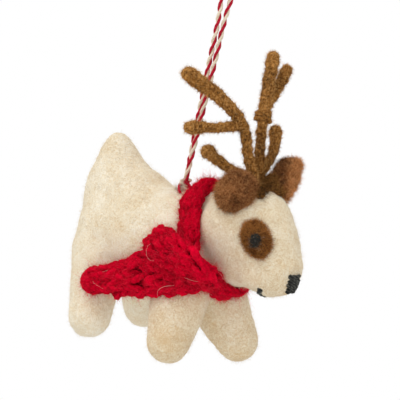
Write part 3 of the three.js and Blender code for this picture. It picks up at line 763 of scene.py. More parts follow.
# The folded ear is a ball of wool with a pit where it was needled on
EAR_MIDDLE = HEAD.skin(EAR_PLACE, 127, 2.9) + np.array([2.0, -1.0, -0.4])
EAR_OUT = HEAD.outward(EAR_PLACE, 128)
EAR_DOWN = unit(RIGHT_EAR.at[2] - RIGHT_EAR.at[0])
EAR_BALL = ball(EAR_MIDDLE, [X_AXIS * 6.8, EAR_DOWN * 7.5, EAR_OUT * 6.6])
PIT_WAY = unit((5.5, -3.6, -3.6))
PIT_DEPTH = 1.6
EAR_PIT = EAR_MIDDLE + PIT_WAY * 7.4
IMAGE_RIGHT = np.array([math.cos(CAMERA_AZIMUTH), math.sin(CAMERA_AZIMUTH), 0])


def near_pit(verts, width):
    return bell(np.linalg.norm(verts - EAR_PIT, axis=1), width)


def pitted(verts):
    return verts - PIT_WAY * (PIT_DEPTH * near_pit(verts, 2.4))[:, None]


# Painted shade darkens the felt in the ear's needled pit.
def right_ear_tone_with_painted_pit_shade(verts):
    return 0.55 + 0.08 * Lumps(3, 41)(verts) - 0.5 * near_pit(verts, 2.8)


# Painted light on the left ear's side towards the image's right, painted shade on its other side.
def left_ear_tone_with_painted_light(verts):
    across = (verts - LEFT_EAR.at[1]) @ IMAGE_RIGHT
    return 0.18 + 0.7 * share(across, -0.8, 2.4) + 0.08 * Lumps(3, 42)(verts)


def make_ear(side, forms, seed, count, length, tone, shape=None):
    """Felted brown wool with a dense coat of short hairs."""
    rng = np.random.default_rng(seed)
    verts, quads = felted(forms, voxel=0.55, rounds=6, seed=seed, coarse=0.24, fine=0.16, shape=shape)
    piece = Piece()
    piece.add(hung(verts), quads, tone=tone(verts))
    points, normals = scatter(verts, quads, count, rng)
    shade = tone(points) + 0.28 * Lumps(1.3, seed + 9)(points) + rng.uniform(-0.35, 0.45, count)
    dog_hairs(piece, points, normals, rng, Hair(length, (0.08, 0.15), 0.62, 0.9), 1, np.clip(shade, 0, 1))
    shown(piece, f"{side}_ear_felt", [BROWN, BROWN_FIBRE], "dog", "brown_wool", f"{side}_ear")


RIGHT_EAR_FORMS = [RIGHT_EAR.surface(grow=RIGHT_EAR_GROWTH), EAR_BALL]
make_ear("right", RIGHT_EAR_FORMS, 51, 9500, (0.7, 2.2), right_ear_tone_with_painted_pit_shade, pitted)
make_ear("left", [LEFT_EAR.surface(grow=LEFT_EAR_GROWTH)], 52, 7000, (0.7, 2.1), left_ear_tone_with_painted_light)


# Face
EYE_PLACE = 0.68
LEFT_EYE_ANGLE = 23
RIGHT_EYE_ANGLE = 180 - LEFT_EYE_ANGLE
EYE_SECTIONS = ((-0.8, 1.95), (0, 2.15), (0.8, 1.95))
EYE_HAIR = Hair((0.5, 1.7), (0.05, 0.09), 0.75, 0.9, 2)
PATCH_HALF_WIDTH, PATCH_HALF_HEIGHT = 4.8, 6.9
PATCH_LIFT, PATCH_DEPTH = 1.5, -0.8
PATCH_RINGS, PATCH_SIDES = 26, 72
PATCH_HAIRS = 5200
PATCH_HAIR = Hair((0.7, 2.0), (0.09, 0.17), 0.7, 0.9)
PATCH_EDGE_HAIRS = 1500
PATCH_EDGE_HAIR = Hair((0.7, 2.3), (0.07, 0.12), 0.45, 0.9)
# Hairs that lie over the eye: which of those near it, material and thickness
OVER_EYE = ((slice(0, 150), 0, (0.08, 0.13)), (slice(150, 190), 1, (0.04, 0.06)))


def make_patch():
    """A thin lens of brown wool laid on the head round the right eye."""
    rng = np.random.default_rng(61)
    rings, sides = PATCH_RINGS, PATCH_SIDES
    eye, facing = HEAD.skin(EYE_PLACE, RIGHT_EYE_ANGLE), HEAD.outward(EYE_PLACE, RIGHT_EYE_ANGLE)
    middle = eye + Z_AXIS * 0.9 - X_AXIS * 0.4
    up = unit(Z_AXIS - X_AXIS * 0.62)
    up = unit(up - facing * (facing @ up))
    side = np.cross(up, facing)
    turn = circle(sides)
    ragged = 1 + 0.03 * np.cos(2 * turn + 1) + 0.02 * np.cos(5 * turn + 2) + 0.015 * np.cos(9 * turn + 1)
    wide, tall = PATCH_HALF_WIDTH * ragged * np.cos(turn), PATCH_HALF_HEIGHT * ragged * np.sin(turn)
    rim = np.outer(wide, side) + np.outer(tall, up)
    verts = []
    for out in np.arange(1, rings + 1) / rings:
        lift = PATCH_LIFT * math.sqrt(1 - out**3) - 0.25 * (out == 1)
        verts += [on_head(middle + way * out, facing, lift) for way in rim]
    top = len(verts)
    verts += [on_head(edge, facing, PATCH_DEPTH) for edge in verts[-sides:]]
    poles = [on_head(middle, facing, lift) for lift in (PATCH_LIFT, PATCH_DEPTH)]
    verts, quads, caps = closed(np.reshape(verts, (rings + 1, sides, 3)), poles)
    verts[:top] += facing * (0.06 * Lumps(1.6, 62)(verts[:top]) + 0.1 * Lumps(3.5, 63)(verts[:top]))[:, None]
    quads, caps = quads[:, ::-1], caps[:, ::-1]
    mottle = Lumps(1.1, 66)
    away = np.linalg.norm((verts - middle) - np.outer((verts - middle) @ facing, facing), axis=1)
    piece = Piece()
    tone = 0.5 + 0.3 * mottle(verts) - 0.3 * bell(away, 3.0)
    piece.add(hung(verts), quads, caps, tone)
    points, normal = scatter(verts, quads[: (rings - 1) * sides], PATCH_HAIRS, rng)
    normal = np.where((normal @ facing)[:, None] < 0, -normal, normal)
    gap = np.linalg.norm(points - eye, axis=1)
    shade = rng.uniform(0.35, 0.9, len(points)) + 0.5 * mottle(points) - 0.4 * bell(gap, 3.2)
    dog_hairs(piece, points, normal, rng, PATCH_HAIR, 0, np.clip(shade, 0, 1))
    ring = points[(gap > 2.3) & (gap < 4.2)]
    for some, material, thickness in OVER_EYE:
        roots = ring[some]
        over = unit(unit(eye - roots) + facing * 0.8 + 0.5 * rng.normal(size=roots.shape))
        hair = Hair((1.2, 3.0), thickness, 0.3, 0.9)
        dog_hairs(piece, roots + facing * 0.4, over, rng, hair, material, (0.2, 1.0))
    edge = verts[rng.integers((rings - 3) * sides, rings * sides, PATCH_EDGE_HAIRS)]
    away = unit(unit(edge - middle) + facing * 0.35)
    dog_hairs(piece, edge + facing * 0.25, away, rng, PATCH_EDGE_HAIR, 0, (0.3, 1.0))
    shown(piece, "eye_patch_felt", [PATCH, WHITE_FIBRE], "dog", "patch_wool", "eye_patch")


def make_eye(node, degrees, seat, seed):
    """A small ball of black felt that stands off the head by its seat."""
    rng = np.random.default_rng(seed)
    middle, facing = HEAD.skin(EYE_PLACE, degrees, seat), HEAD.outward(EYE_PLACE, degrees)
    up = unit(Z_AXIS - facing * facing[2])
    form = Loft([(*(middle + up * h), r, r) for h, r in EYE_SECTIONS], side=np.cross(up, facing))
    verts, quads = remeshed([form.surface(grow=0.15, sides=40, rings=20)], voxel=0.3)
    verts = smoothed(verts, quads, rounds=3)
    lift = 0.12 * Lumps(1.4, seed)(verts) + 0.05 * Lumps(0.6, seed + 1)(verts)
    verts = verts + normals_of(verts, quads) * lift[:, None]
    piece = Piece()
    piece.add(hung(verts), quads, tone=0.42 + 0.14 * Lumps(1.2, seed + 2)(verts))
    dog_hairs(piece, *scatter(verts, quads, 800, rng), rng, EYE_HAIR)
    shown(piece, f"{node}_felt", [BLACK], "dog", "black_wool", node)


NOSE_ROWS = 7
NOSE_HALF_WIDTH, NOSE_HALF_HEIGHT = 2.6, 3.3
NOSE_LIFT = math.radians(24)
NOSE_YARN_RADIUS = 0.66
NOSE_YARN = {"sides": 12, "lobes": 3, "lobe_depth": 0.13, "lobe_twist": 2.4}
NOSE_HAIRS, NOSE_HAIR = 40, Hair((0.4, 1.3), (0.05, 0.09), 0.8, 0.8, 2)
PAD_POINTS, PAD_DEPTH = 9, 3.2
MOUTH_POINTS = 80
MOUTH_YARN = {"sides": 12, "lobes": 2, "lobe_depth": 0.16, "lobe_twist": 2.0}
MOUTH_HAIRS, MOUTH_HAIR = 120, Hair((0.3, 1.0), (0.05, 0.08), 0.8, 0.8, 2)


def make_nose():
    """Black yarn wound to and fro over the tip of the muzzle, on a dark pad."""
    rng = np.random.default_rng(71)
    middle, _, along, across, deep = (x[0] for x in HEAD.frame(1.0))
    ahead = math.cos(NOSE_LIFT) * along + math.sin(NOSE_LIFT) * deep
    up = math.cos(NOSE_LIFT) * deep - math.sin(NOSE_LIFT) * along
    front = max(on_head(middle + up * h, ahead) @ ahead for h in (-2, 0, 2))

    def pad(row, out, lie):
        place = middle + up * row + across * (NOSE_HALF_WIDTH * out + 0.7 - 0.32 * row) - up * 0.4
        place = on_head(place, ahead, lie)
        return place + ahead * max(front - 2.2 + lie - place @ ahead, 0)

    piece = Piece()
    for i in range(NOSE_ROWS):
        height = NOSE_HALF_HEIGHT * (2 * i / (NOSE_ROWS - 1) - 1)
        slant = 0.35 + rng.uniform(-0.4, 0.4)
        line = [pad(height - slant * s, s, 0.55 + 0.12 * math.sin(5 * s + i)) for s in np.linspace(-1, 1, 15)]
        line = smooth([line[0] - ahead * 1.0, *line, line[-1] - ahead * 1.4 + across * 0.2], 44)
        verts, quads, caps, swell = tube(line, NOSE_YARN_RADIUS, **NOSE_YARN)
        piece.add(hung(verts), quads, caps, painted_ply_shading(0.36, 2.6, swell, 0.3))
        pick = rng.integers(5, 39, NOSE_HAIRS)
        out = unit(ahead + rng.normal(size=(NOSE_HAIRS, 3)) * 0.7)
        dog_hairs(piece, line[pick] + out * 0.55, out, rng, NOSE_HAIR, 0, (0.3, 1.0))
    n = PAD_POINTS
    rows = np.linspace(-NOSE_HALF_HEIGHT, NOSE_HALF_HEIGHT, n)
    grid = np.array([pad(row, s, 0.2) for row in rows for s in np.linspace(-1, 1, n)])
    ids = np.arange(n * n).reshape(n, n)
    rim = np.concatenate([ids[0], ids[1:, -1], ids[-1, -2::-1], ids[-2:0:-1, 0]])
    onward = np.roll(rim, -1)
    skirt = np.stack([rim, onward, onward + n * n, rim + n * n], axis=1)[:, ::-1]
    quads = [grid_faces(n, n, wrap=False), grid_faces(n, n, n * n, wrap=False)[:, ::-1], skirt]
    piece.add(hung(np.concatenate([grid, grid - ahead * PAD_DEPTH])), np.concatenate(quads), tone=0.12)
    shown(piece, "nose_yarn", [YARN_BLACK], "dog", "black_yarn", "nose")


def make_mouth():
    """One stitch of black yarn from cheek to cheek under the chin."""
    rng = np.random.default_rng(72)
    middle, _, along, across, deep = (x[0] for x in HEAD.frame(1.0))
    line = []
    for degrees in range(212, 328, 8):
        c, s = math.cos(math.radians(degrees)), math.sin(math.radians(degrees))
        place = middle + along * (2.4 - 1.2 * abs(c)) + across * 8.4 * c + deep * 10 * s
        hit, normal, _, _ = HEAD_TREE.find_nearest(Vector(place))
        line.append(np.array(hit) - np.array(normal) * 0.1)
    line = smooth(line, MOUTH_POINTS)
    bold = 0.62 + 0.5 * bell(np.linspace(0, 1, MOUTH_POINTS) - 0.1, 0.13)
    verts, quads, caps, swell = tube(line, bold, **MOUTH_YARN)
    piece = Piece()
    piece.add(hung(verts), quads, caps, painted_ply_shading(0.36, 1.5, swell, 0.4))
    pick = rng.integers(2, MOUTH_POINTS - 2, MOUTH_HAIRS)
    out = unit(rng.normal(size=(MOUTH_HAIRS, 3)))
    dog_hairs(piece, line[pick] + out * 0.6, out, rng, MOUTH_HAIR, 0, (0.3, 1.0))
    shown(piece, "mouth_yarn", [YARN_BLACK], "dog", "black_yarn", "mouth_stitch")


make_patch()
make_eye("right_eye", RIGHT_EYE_ANGLE, 1.5, 65)
make_eye("left_eye", LEFT_EYE_ANGLE, 0.5, 68)
make_nose()
make_mouth()


# Antlers: wool wound on the wires. Each has its root on the head and points off it for its stem,
# the share of the stem where a tine begins with points off the root, and radii along them.
# tuft is how far the foot of the stem flares.
# Feet are balls of loose wool: place on the head, half width and half height.
WINDING_PITCH = 1.5
WINDING_STEP = 0.3
WINDING_SIDES = 48
TINE_RADII = [1.85, 1.85, 2.6]
ANTLERS = {
    "right": {
        "root": HEAD.skin(0.28, 109),
        "beam": [(0, 0, 0), (-5.1, -0.6, 10.7), (-8.8, -2.6, 23.2), (-14.8, -8.6, 31.3), (-26.1, -16.6, 39)],
        "fork": (0.5, [(-14, -11.6, 21.2), (-19.3, -19.6, 20.2)]),
        "low": (0.07, [(-11.9, -7.6, 8.2), (-15.6, -12.4, 12)]),
        "radii": [2.05, 2.0, 2.0, 2.45, 2.95],
        "tuft": 0.7,
        "feet": [(0.27, 104, 3.4, 2.6), (0.31, 106, 3.0, 2.2), (0.33, 112, 2.6, 1.8)],
    },
    "left": {
        "root": HEAD.skin(0.15, 76),
        "beam": [(0, 0, 0), (-2, 0.2, 11.6), (-4.2, 1.6, 25), (-5.2, 3.2, 32), (-8.9, 8.6, 48.7)],
        "fork": (0.64, [(-6, 10.7, 37.6), (-7.8, 16.7, 44.4)]),
        "fork_radii": [1.8, 1.95, 2.3],
        "low": (0.1, [(-1.9, 8.2, 13.9), (-4.4, 10.9, 20.9)]),
        "radii": [2.0, 1.95, 1.95, 2.0, 2.2, 2.45, 2.5],
        "tuft": 1.0,
        "feet": [
            (0.2, 76, 4.2, 3.4),
            (0.26, 74, 4.2, 4.6),
            (0.25, 68, 3.4, 7.2),
            (0.28, 66, 3.6, 5.0),
            (0.28, 90, 3.4, 2.2),
            (0.33, 78, 3.4, 2.4),
        ],
    },
}
ANTLER_HAIRS_PER_MM, HAIRS_PER_FOOT = 105, 700
ANTLER_HAIR = Hair((0.5, 1.6), (0.08, 0.15), 0.72, 0.9, 2)
FOOT_HAIR = Hair((0.8, 2.6), (0.08, 0.13), 0.55, 0.9, 2)


def wound_wool(name, node, spine, radii, seed, flare=0.0, feet=()):
    """A sleeve of wool wound round a wire: a spiral of uneven turns with a club at its end."""
    rng = np.random.default_rng(seed)
    table = np.concatenate([smooth(spine, 400), smooth(np.array(radii)[:, None], 400)], axis=1)
    club = unit(table[-1, :3] - table[-2, :3]) * table[-1, 3]
    table = np.concatenate([table, table[-1] + np.linspace(0.05, 1, 20)[:, None] * (*club, 0)])
    count = int(run_of(table[:, :3])[-1] / WINDING_STEP)
    table, length = even(table, count)
    line, radius = table[:, :3], table[:, 3]
    along, across, deep = swept(line, Y_AXIS)
    run = np.linspace(0, length, count)
    turn = circle(WINDING_SIDES)
    wander = 0.35 * np.sin(run / 2.3 + seed) + 0.4 * np.sin(run / 5.1 + 2 * seed)
    phase = (run + wander)[:, None] / WINDING_PITCH - turn[None] / TURN
    ridge = np.abs(np.sin(math.pi * phase)) ** 0.7
    end = np.clip((length - run) / (radius[-1] * 1.1), 0, 1)
    cap = np.sqrt(1 - (1 - end) ** 2)
    size = (radius - 0.1 + flare * np.exp(-run / 3.4)) * cap
    out = spokes(turn, across, deep)
    points = line[:, None] + out * size[:, None, None]
    lump = 0.14 * Lumps(3.6, seed)(points) + 0.09 * Lumps(1.4, seed + 1)(points)
    points = points + out * ((0.1 * (ridge - 0.55) + lump) * (0.25 + 0.75 * cap[:, None]))[:, :, None]
    tufts = Lumps(1.3, seed + 6)
    # Painted shade in the grooves between turns: the winding's ridges are lighter.
    tone = 0.4 + 0.1 * ridge + 0.084 * np.sin(np.floor(phase) * 12.9898 + seed)
    tone += 0.14 * tufts(points) + 0.05 * Lumps(0.9, seed + 3)(points)
    tone += (0.16 * np.clip(run / length - 0.5, -0.2, 0.5) - 0.32 * np.exp(-run / 5) * (flare > 0))[:, None]
    verts, quads, caps = closed(points, [line[0] - along[0] * 0.2, line[-1] + along[-1] * 0.15])
    piece = Piece()
    piece.add(hung(verts), quads, caps, np.concatenate([tone.ravel(), [0.3, 0.5]]))
    spots, normal = scatter(verts, quads, int(length * ANTLER_HAIRS_PER_MM), rng)
    shade = rng.uniform(0.0, 0.9, len(spots)) + 0.3 * tufts(spots) + 0.1 * Lumps(3, seed + 7)(spots)
    shade = shade + 0.25 * np.linalg.norm(spots - line[0], axis=1) / length
    dog_hairs(piece, spots, normal, rng, ANTLER_HAIR, 1, np.clip(shade, 0, 1))
    if feet:
        balls = [
            ball(HEAD.skin(t, degrees, -0.4), [X_AXIS * wide, Y_AXIS * wide, Z_AXIS * tall])
            for t, degrees, wide, tall in feet
        ]
        mound, faces = felted(balls, voxel=0.5, rounds=4, seed=seed + 4, coarse=0.2, fine=0.2)
        piece.add(hung(mound), faces, tone=0.16 + 0.12 * Lumps(2, seed + 5)(mound))
        spots, normal = scatter(mound, faces, HAIRS_PER_FOOT * len(feet), rng)
        shade = rng.uniform(0.0, 0.8, len(spots)) + 0.35 * Lumps(1.3, seed + 8)(spots)
        dog_hairs(piece, spots, unit(normal + Z_AXIS * 0.5), rng, FOOT_HAIR, 0, np.clip(shade, 0, 1))
    shown(piece, name, [ANTLER, ANTLER_FIBRE], "dog", "antler_wool", node)


seed = 80
for name, shape in ANTLERS.items():
    beam = shape["root"] + np.array(shape["beam"], float)
    stem = f"{name}_antler_stem", f"{name}_antler_beam"
    wound_wool(*stem, beam, shape["radii"], seed, flare=shape["tuft"], feet=shape["feet"])
    for tine in ("fork", "low"):
        seed += 7
        place, offsets = shape[tine]
        spine = np.concatenate([catmull(beam, [place]), shape["root"] + np.array(offsets, float)])
        radii = shape.get(f"{tine}_radii", TINE_RADII)
        wound_wool(f"{name}_antler_{tine}_end", f"{name}_antler_{tine}_tine", spine, radii, seed)
    seed += 7

LEFT_BEAM = ANTLERS["left"]["root"] + np.array(ANTLERS["left"]["beam"], float)
BINDING_PLACE = 0.535
BINDING_TURNS, BINDING_PITCH, BINDING_POINTS = 3.4, 1.2, 320
BINDING_YARN = {"sides": 14, "lobes": 3, "lobe_depth": 0.14, "lobe_twist": 2.2}
BINDING_HAIRS, BINDING_HAIR = 620, Hair((0.5, 1.9), (0.05, 0.09), 0.65, 0.9)


def make_binding():
    """The collar of wool wound round the left stem below its fork."""
    rng = np.random.default_rng(95)
    line, length = even(smooth(LEFT_BEAM, 800), 801)
    turn = np.linspace(0, TURN * BINDING_TURNS, BINDING_POINTS)
    run = BINDING_PLACE * length + BINDING_PITCH * (turn / TURN - BINDING_TURNS / 2) + 0.3 * np.sin(turn * 0.7)
    marks = np.linspace(0, length, 801)
    at, ahead = sampled(run, marks, line), sampled(run, marks, unit(np.gradient(line, axis=0)))
    across = unit(X_AXIS - ahead * (ahead @ X_AXIS)[:, None])
    deep = np.cross(ahead, across)
    lift = 2.85 - 0.5 * turn / turn[-1] + 0.12 * np.sin(turn * 0.43 + 1)
    path = at + lift[:, None] * (np.cos(turn)[:, None] * across + np.sin(turn)[:, None] * deep)
    verts, quads, caps, swell = tube(path, 0.68 + 0.1 * np.sin(turn * 0.9), **BINDING_YARN)
    verts += unit(verts) * (0.1 * Lumps(1.2, 96)(verts))[:, None]
    piece = Piece()
    piece.add(hung(verts), quads, caps, painted_ply_shading(0.42, 1.2, swell, 0.4))
    pick = rng.integers(0, BINDING_POINTS, BINDING_HAIRS)
    out = unit(path[pick] - at[pick] + rng.normal(size=(BINDING_HAIRS, 3)) * 0.9)
    dog_hairs(piece, path[pick] + out * 0.5, out, rng, BINDING_HAIR, 1)
    shown(piece, "antler_collar", [ANTLER, ANTLER_FIBRE], "dog", "antler_wool", "antler_binding")


make_binding()


# Stitch of twine through the back. Its points are places across the back and depths in the felt.
STITCH_PLACE = 0.515
STITCH_LINE = ((-2.6, 0.9), (-2.6, 3), (0, 6), (2.6, 3), (2.6, 0.9))


def make_stitch():
    skin, up = TRUNK.skin(STITCH_PLACE, 90), TRUNK.outward(STITCH_PLACE, 90)
    line = [skin + Y_AXIS * y - up * depth for y, depth in STITCH_LINE]
    piece = Piece()
    laid_twine(piece, hung(smooth(line, 80)), np.random.default_rng(99))
    shown(piece, "back_stitch", [TWINE_RED, TWINE_WHITE], "dog", "twine", "anchor_stitch")


make_stitch()


# Scarf: a flat knitted strip, six columns of stitches round it
SCARF_TILT = math.radians(24)
RING_UP = np.array([-math.sin(SCARF_TILT), 0, math.cos(SCARF_TILT)])
RING_AXIS = np.array([math.cos(SCARF_TILT), 0, math.sin(SCARF_TILT)])
RING_MIDDLE = np.array([17, 0, 47.3])
RING_HALF_HEIGHT, RING_HALF_WIDTH = 20.4, 16.3
SCARF_HALF_THICKNESS = 1.5
LOOSE, TIGHT, SPREAD = 4.8, 3.9, 5.6


def ring_point(degrees):
    a = math.radians(degrees)
    ring = RING_UP * RING_HALF_HEIGHT * math.cos(a) - Y_AXIS * RING_HALF_WIDTH * math.sin(a)
    return (*(RING_MIDDLE + ring), TIGHT)


# Points and half widths of the strip's middle line
WRAP_LINE = [
    (18, -23, 31.2, LOOSE),
    (18, -21.6, 36, LOOSE),
    (17, -18.6, 43, LOOSE),
    *[ring_point(d) for d in (75, 40, 0, -40, -80, -120, -160, -200, -222)],
    (28.2, -16.8, 34.2, LOOSE),
    (28, -24.4, 38.2, SPREAD),
    (22.4, -27.6, 42.4, SPREAD),
    (15, -27.8, 44.8, LOOSE),
    (7, -24.4, 46, LOOSE),
]
TAIL_LINE = [
    (26, -19, 34, 4.2),
    (18, -22.8, 33.6, 5.1),
    (10, -23.8, 32.7, 6.6),
    (4, -23.7, 32, 7.5),
    (-3, -23.7, 29.3, 6.0),
    (-11, -24, 26.6, 5.3),
    (-17, -24.9, 24.7, 4.8),
    (-20.8, -25.6, 23.6, 4.3),
    (-23.4, -26.2, 23, 2.6),
]


class Strip:
    """A knitted strip. A place on it is a run along it, a turn round it and a height off it."""

    def __init__(self, points, side, seed):
        table = smooth(points, 1500)
        run = run_of(table[:, :3])
        self.length = run[-1]
        at = np.linspace(0, self.length, 1200)
        table = sampled(at, run, table)
        wave = np.sin(at / 3.7 + seed) + np.sin(at / 5.9 + 2 * seed) + np.sin(at / 2.3 + 3 * seed)
        self.line, self.half = table[:, :3], table[:, 3:] * (1 + 0.045 * wave)[:, None]
        self.along = unit(np.gradient(self.line, axis=0))
        self.across = unit(side - self.along * (self.along @ side)[:, None])
        self.deep = np.cross(self.along, self.across)
        a = np.linspace(0, TURN, 721)
        self.rim = np.stack([LOOSE * np.cos(a), SCARF_HALF_THICKNESS * np.sin(a)], axis=1)
        self.rim_run = run_of(self.rim)
        self.around = self.rim_run[-1]

    def point(self, run, turn, height):
        """All three in millimetres, the turn as a length round the edge."""
        run, turn, height = np.broadcast_arrays(run, turn, height)
        beyond = np.minimum(run, 0) + np.maximum(run - self.length, 0)
        at = np.clip(run / self.length, 0, 1) * (len(self.line) - 1)
        i = np.minimum(at.astype(int), len(self.line) - 2)
        w = (at - i)[..., None]

        def mixed(table):
            return table[i] * (1 - w) + table[i + 1] * w

        t = np.mod(turn, self.around)
        u, v = (np.interp(t, self.rim_run, column) for column in self.rim.T)
        normal = unit(np.stack([u / LOOSE**2, v / SCARF_HALF_THICKNESS**2], -1))
        gone = np.clip(np.abs(beyond) / SCARF_HALF_THICKNESS, 0, 1)
        shrink = np.sqrt(1 - gone**2)
        u = (u * mixed(self.half)[..., 0] / LOOSE + normal[..., 0] * height) * shrink
        v = (v + normal[..., 1] * height) * shrink
        ahead = np.clip(beyond, -SCARF_HALF_THICKNESS, SCARF_HALF_THICKNESS)
        spine = mixed(self.line) + mixed(self.along) * ahead[..., None]
        return spine + mixed(self.across) * u[..., None] + mixed(self.deep) * v[..., None]


STITCH_COLUMNS = 6
STITCH_ROW = 4.1
STRAND_RADIUS = 1.25
LEG_POINTS, LEG_SIDES = 12, 14
HAIRS_PER_LEG = 42
STRAND_LUMPS = Lumps(1.7, 300), Lumps(0.7, 301)
YARN_HAIR = Hair((0.7, 2.8), (0.06, 0.11), 0.66, 0.9, 1)
STRAY_SHARE = 14
STRAY_HAIR = Hair((2.0, 5.0), (0.05, 0.08), 0.45, 1.3, 3)
LONG_HAIR_RADII = np.linspace(0.045, 0.025, 16)


def knit(piece, strip, rng):
    """Rows of V stitches round the strip, each leg a plied strand that dips under its neighbours.
    Gives the places and directions of the yarn's hairs."""
    wide = strip.around / STITCH_COLUMNS
    s = np.linspace(0, 1, LEG_POINTS)
    arch = np.sin(math.pi * np.clip(0.04 + 0.96 * s, 0, 1)) ** 0.75
    swell_along = 0.55 + 0.45 * np.sin(math.pi * s) ** 0.6
    hair_points, hair_normals = [], []
    rows = range(-1, int(strip.length / STITCH_ROW) + 1)
    for r, c in product(rows, range(STITCH_COLUMNS)):
        puff = rng.normal() * 0.3
        for hand in (-1, 1):
            jitter = rng.normal(size=5)
            run = STITCH_ROW * (r + 1.6 * s - 0.25) + 0.45 * jitter[0] + 0.25 * jitter[4] * s
            turn = (c + 0.5) * wide + hand * wide * (0.08 + 0.36 * s**0.8)
            turn = turn + 0.3 * jitter[1] + 0.7 * math.sin(r * 0.6)
            height = -0.8 + 1.3 * arch + 0.2 * jitter[2] + puff * arch
            line = strip.point(run, turn, height)
            radius = STRAND_RADIUS * (1 + 0.13 * jitter[3]) * swell_along
            twist = {"turn0": rng.uniform(0, 6), "lobes": 3, "lobe_depth": 0.1, "lobe_twist": hand * 0.9}
            verts, quads, caps, swell = tube(line, radius, LEG_SIDES, **twist)
            rough = 0.16 * STRAND_LUMPS[0](verts) + 0.08 * STRAND_LUMPS[1](verts)
            outward = unit(verts[:-2].reshape(LEG_POINTS, LEG_SIDES, 3) - line[:, None])
            verts[:-2] += outward.reshape(-1, 3) * rough[:-2, None]
            # Painted shade: each leg is darker at its ends, where it dips under its neighbours.
            tone = 0.16 + 0.36 * arch[:, None] + 0.08 * jitter[3]
            piece.add(hung(verts), quads, caps, painted_ply_shading(tone, 1.2, swell, 0.05))
            pick = rng.integers(2, LEG_POINTS - 2, HAIRS_PER_LEG)
            middle = strip.point(run[pick], turn[pick], -2.0)
            outward = unit(line[pick] - middle + rng.normal(size=(HAIRS_PER_LEG, 3)) * 0.8)
            hair_points.append(line[pick] + outward * radius[pick][:, None] * 0.9)
            hair_normals.append(outward)
    return np.concatenate(hair_points), np.concatenate(hair_normals)


def ground(strip, sides=40):
    """The closed layer under the stitches."""
    dome = SCARF_HALF_THICKNESS * np.array([0.3, 0.6, 0.85, 0.98])
    middle = np.linspace(0, strip.length, int(strip.length / 0.8))
    runs = np.concatenate([-dome[::-1], middle, strip.length + dome])
    points = strip.point(runs[:, None], strip.around * np.arange(sides)[None] / sides, -0.35)
    return closed(points, points[[0, -1]].mean(1))


def make_scarf(name, points, side, seed, long_hairs):
    """The strip with its ground, stitches and hairs as three objects."""
    rng = np.random.default_rng(seed)
    strip = Strip(points, side, seed)
    verts, quads, caps = ground(strip)
    base, yarn, fuzz = Piece(), Piece(), Piece()
    # The ground takes the darkest tone of the yarn: painted shade between the stitches.
    base.add(hung(verts), quads, caps, tone=0.02 + 0.05 * Lumps(2, seed)(verts))
    at, out = knit(yarn, strip, rng)
    stray = rng.choice(len(at), len(at) // STRAY_SHARE, replace=False)
    dog_hairs(fuzz, at[stray], out[stray], rng, STRAY_HAIR, 0, (0.4, 1.0))
    dog_hairs(fuzz, at, out, rng, YARN_HAIR, 0, (0.0, 0.9))
    s = np.linspace(0, 1, len(LONG_HAIR_RADII))
    for _ in range(long_hairs):
        run = rng.uniform(3, strip.length - 3) + rng.uniform(-6, 6) * s + 1.3 * np.sin(3 * s + rng.uniform(0, 6))
        turn = rng.uniform(0, strip.around) + rng.uniform(-5, 5) * s + rng.uniform(-2, 2) * np.sin(math.pi * s)
        path = strip.point(run, turn, 1.5 + rng.uniform(0.3, 1.6) * np.sin(math.pi * s))
        verts, quads, caps, _ = tube(path, LONG_HAIR_RADII, sides=4)
        fuzz.add(hung(verts), quads, caps, rng.uniform(0.3, 0.9), 1)
    base_obj = base.object(f"{name}_ground", [RED])
    yarn_obj = yarn.object(f"{name}_stitches", [RED])
    return strip, base_obj, yarn_obj, fuzz.object(f"{name}_hairs", [RED_FIBRE, PALE_HAIR])


# The wrap rides the dog and the loose end stays where it hangs
SCARF = (
    ("scarf_wrap", WRAP_LINE, RING_AXIS, 111, 10, "draped"),
    ("scarf_tail", TAIL_LINE, Z_AXIS, 112, 6, "hung"),
)
for name, *form, held in SCARF:
    strip, base, yarn, hairs = make_scarf(name, *form)
    for obj in (base, yarn, hairs):
        if held == "hung":
            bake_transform(obj)
        else:
            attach(obj, "dog")
    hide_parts(name)


# Light, floor and background
AMBIENT, AMBIENT_TINT = 0.8, (1, 0.98, 0.935, 1)
BACKDROP, BACKDROP_TINT = 1.0, (1, 1, 1, 1)
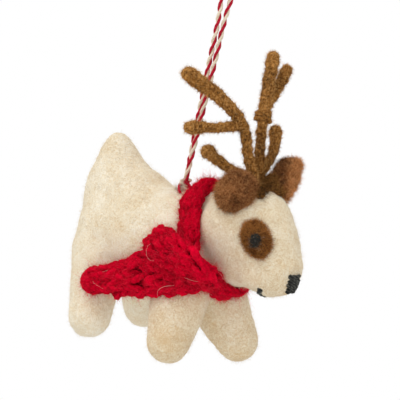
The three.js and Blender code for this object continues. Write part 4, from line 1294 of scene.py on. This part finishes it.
# Place in metres, size and power of each lamp
LAMPS = {
    "key": ((-0.5, -0.6, 0.75), 0.8, 5.0),
    "fill": ((0.7, -0.65, 0.2), 0.9, 2.2),
    "rim": ((-0.3, 0.8, 0.6), 0.7, 1.2),
}
LAMP_TARGET = Vector((0.0, 0.0, -0.11))
FLOOR_HALF, FLOOR_HEIGHT = 0.5, -0.47
FLOOR_COLOUR, FLOOR_GLOW = (0.86, 0.86, 0.85, 1), 0.7


def make_world():
    """White behind the dog and a slightly warm light round it."""
    world = bpy.data.worlds.new("studio")
    bpy.context.scene.world = world
    tree = Tree(world)
    rays = tree.add("LightPath")
    seen = tree.add("Math", {0: rays["Is Camera Ray"], 1: rays["Is Glossy Ray"]}, operation="MAXIMUM")[0]
    level = tree.add("MapRange", {"Value": seen, "To Min": AMBIENT, "To Max": BACKDROP})["Result"]
    tint = tree.add("Mix", {"Factor": seen, 6: AMBIENT_TINT, 7: BACKDROP_TINT}, data_type="RGBA")[2]
    tree.feed(tree.nodes["Background"], {"Strength": level, "Color": tint})


def make_lamps():
    for name, (place, size, power) in LAMPS.items():
        data = bpy.data.lights.new(name, "AREA")
        data.size = size
        data.energy = power
        lamp = placed(name, data)
        lamp.location = place
        lamp.rotation_euler = (LAMP_TARGET - Vector(place)).to_track_quat("-Z", "Y").to_euler()


def make_floor():
    mesh = bpy.data.meshes.new("floor")
    corners = [(x * FLOOR_HALF, y * FLOOR_HALF, FLOOR_HEIGHT) for x, y in ((-1, -1), (1, -1), (1, 1), (-1, 1))]
    mesh.from_pydata(corners, [], [(0, 1, 2, 3)])
    material = bpy.data.materials.new("pale_floor")
    tree = Tree(material)
    plain = tree.feed(tree.nodes["Principled BSDF"], {"Base Color": FLOOR_COLOUR, "Roughness": 0.8})["BSDF"]
    glow = tree.add("Emission", {"Strength": 1.0})["Emission"]
    seen = tree.add("LightPath")["Is Camera Ray"]
    part = tree.add("Math", {0: seen, 1: FLOOR_GLOW}, operation="MULTIPLY")[0]
    mixed = tree.add("MixShader", {"Fac": part, 1: plain, 2: glow})["Shader"]
    tree.feed(tree.nodes["Material Output"], {"Surface": mixed})
    mesh.materials.append(material)
    placed("floor", mesh)


bpy.context.scene.view_settings.view_transform = "Standard"
make_world()
make_lamps()
make_floor()
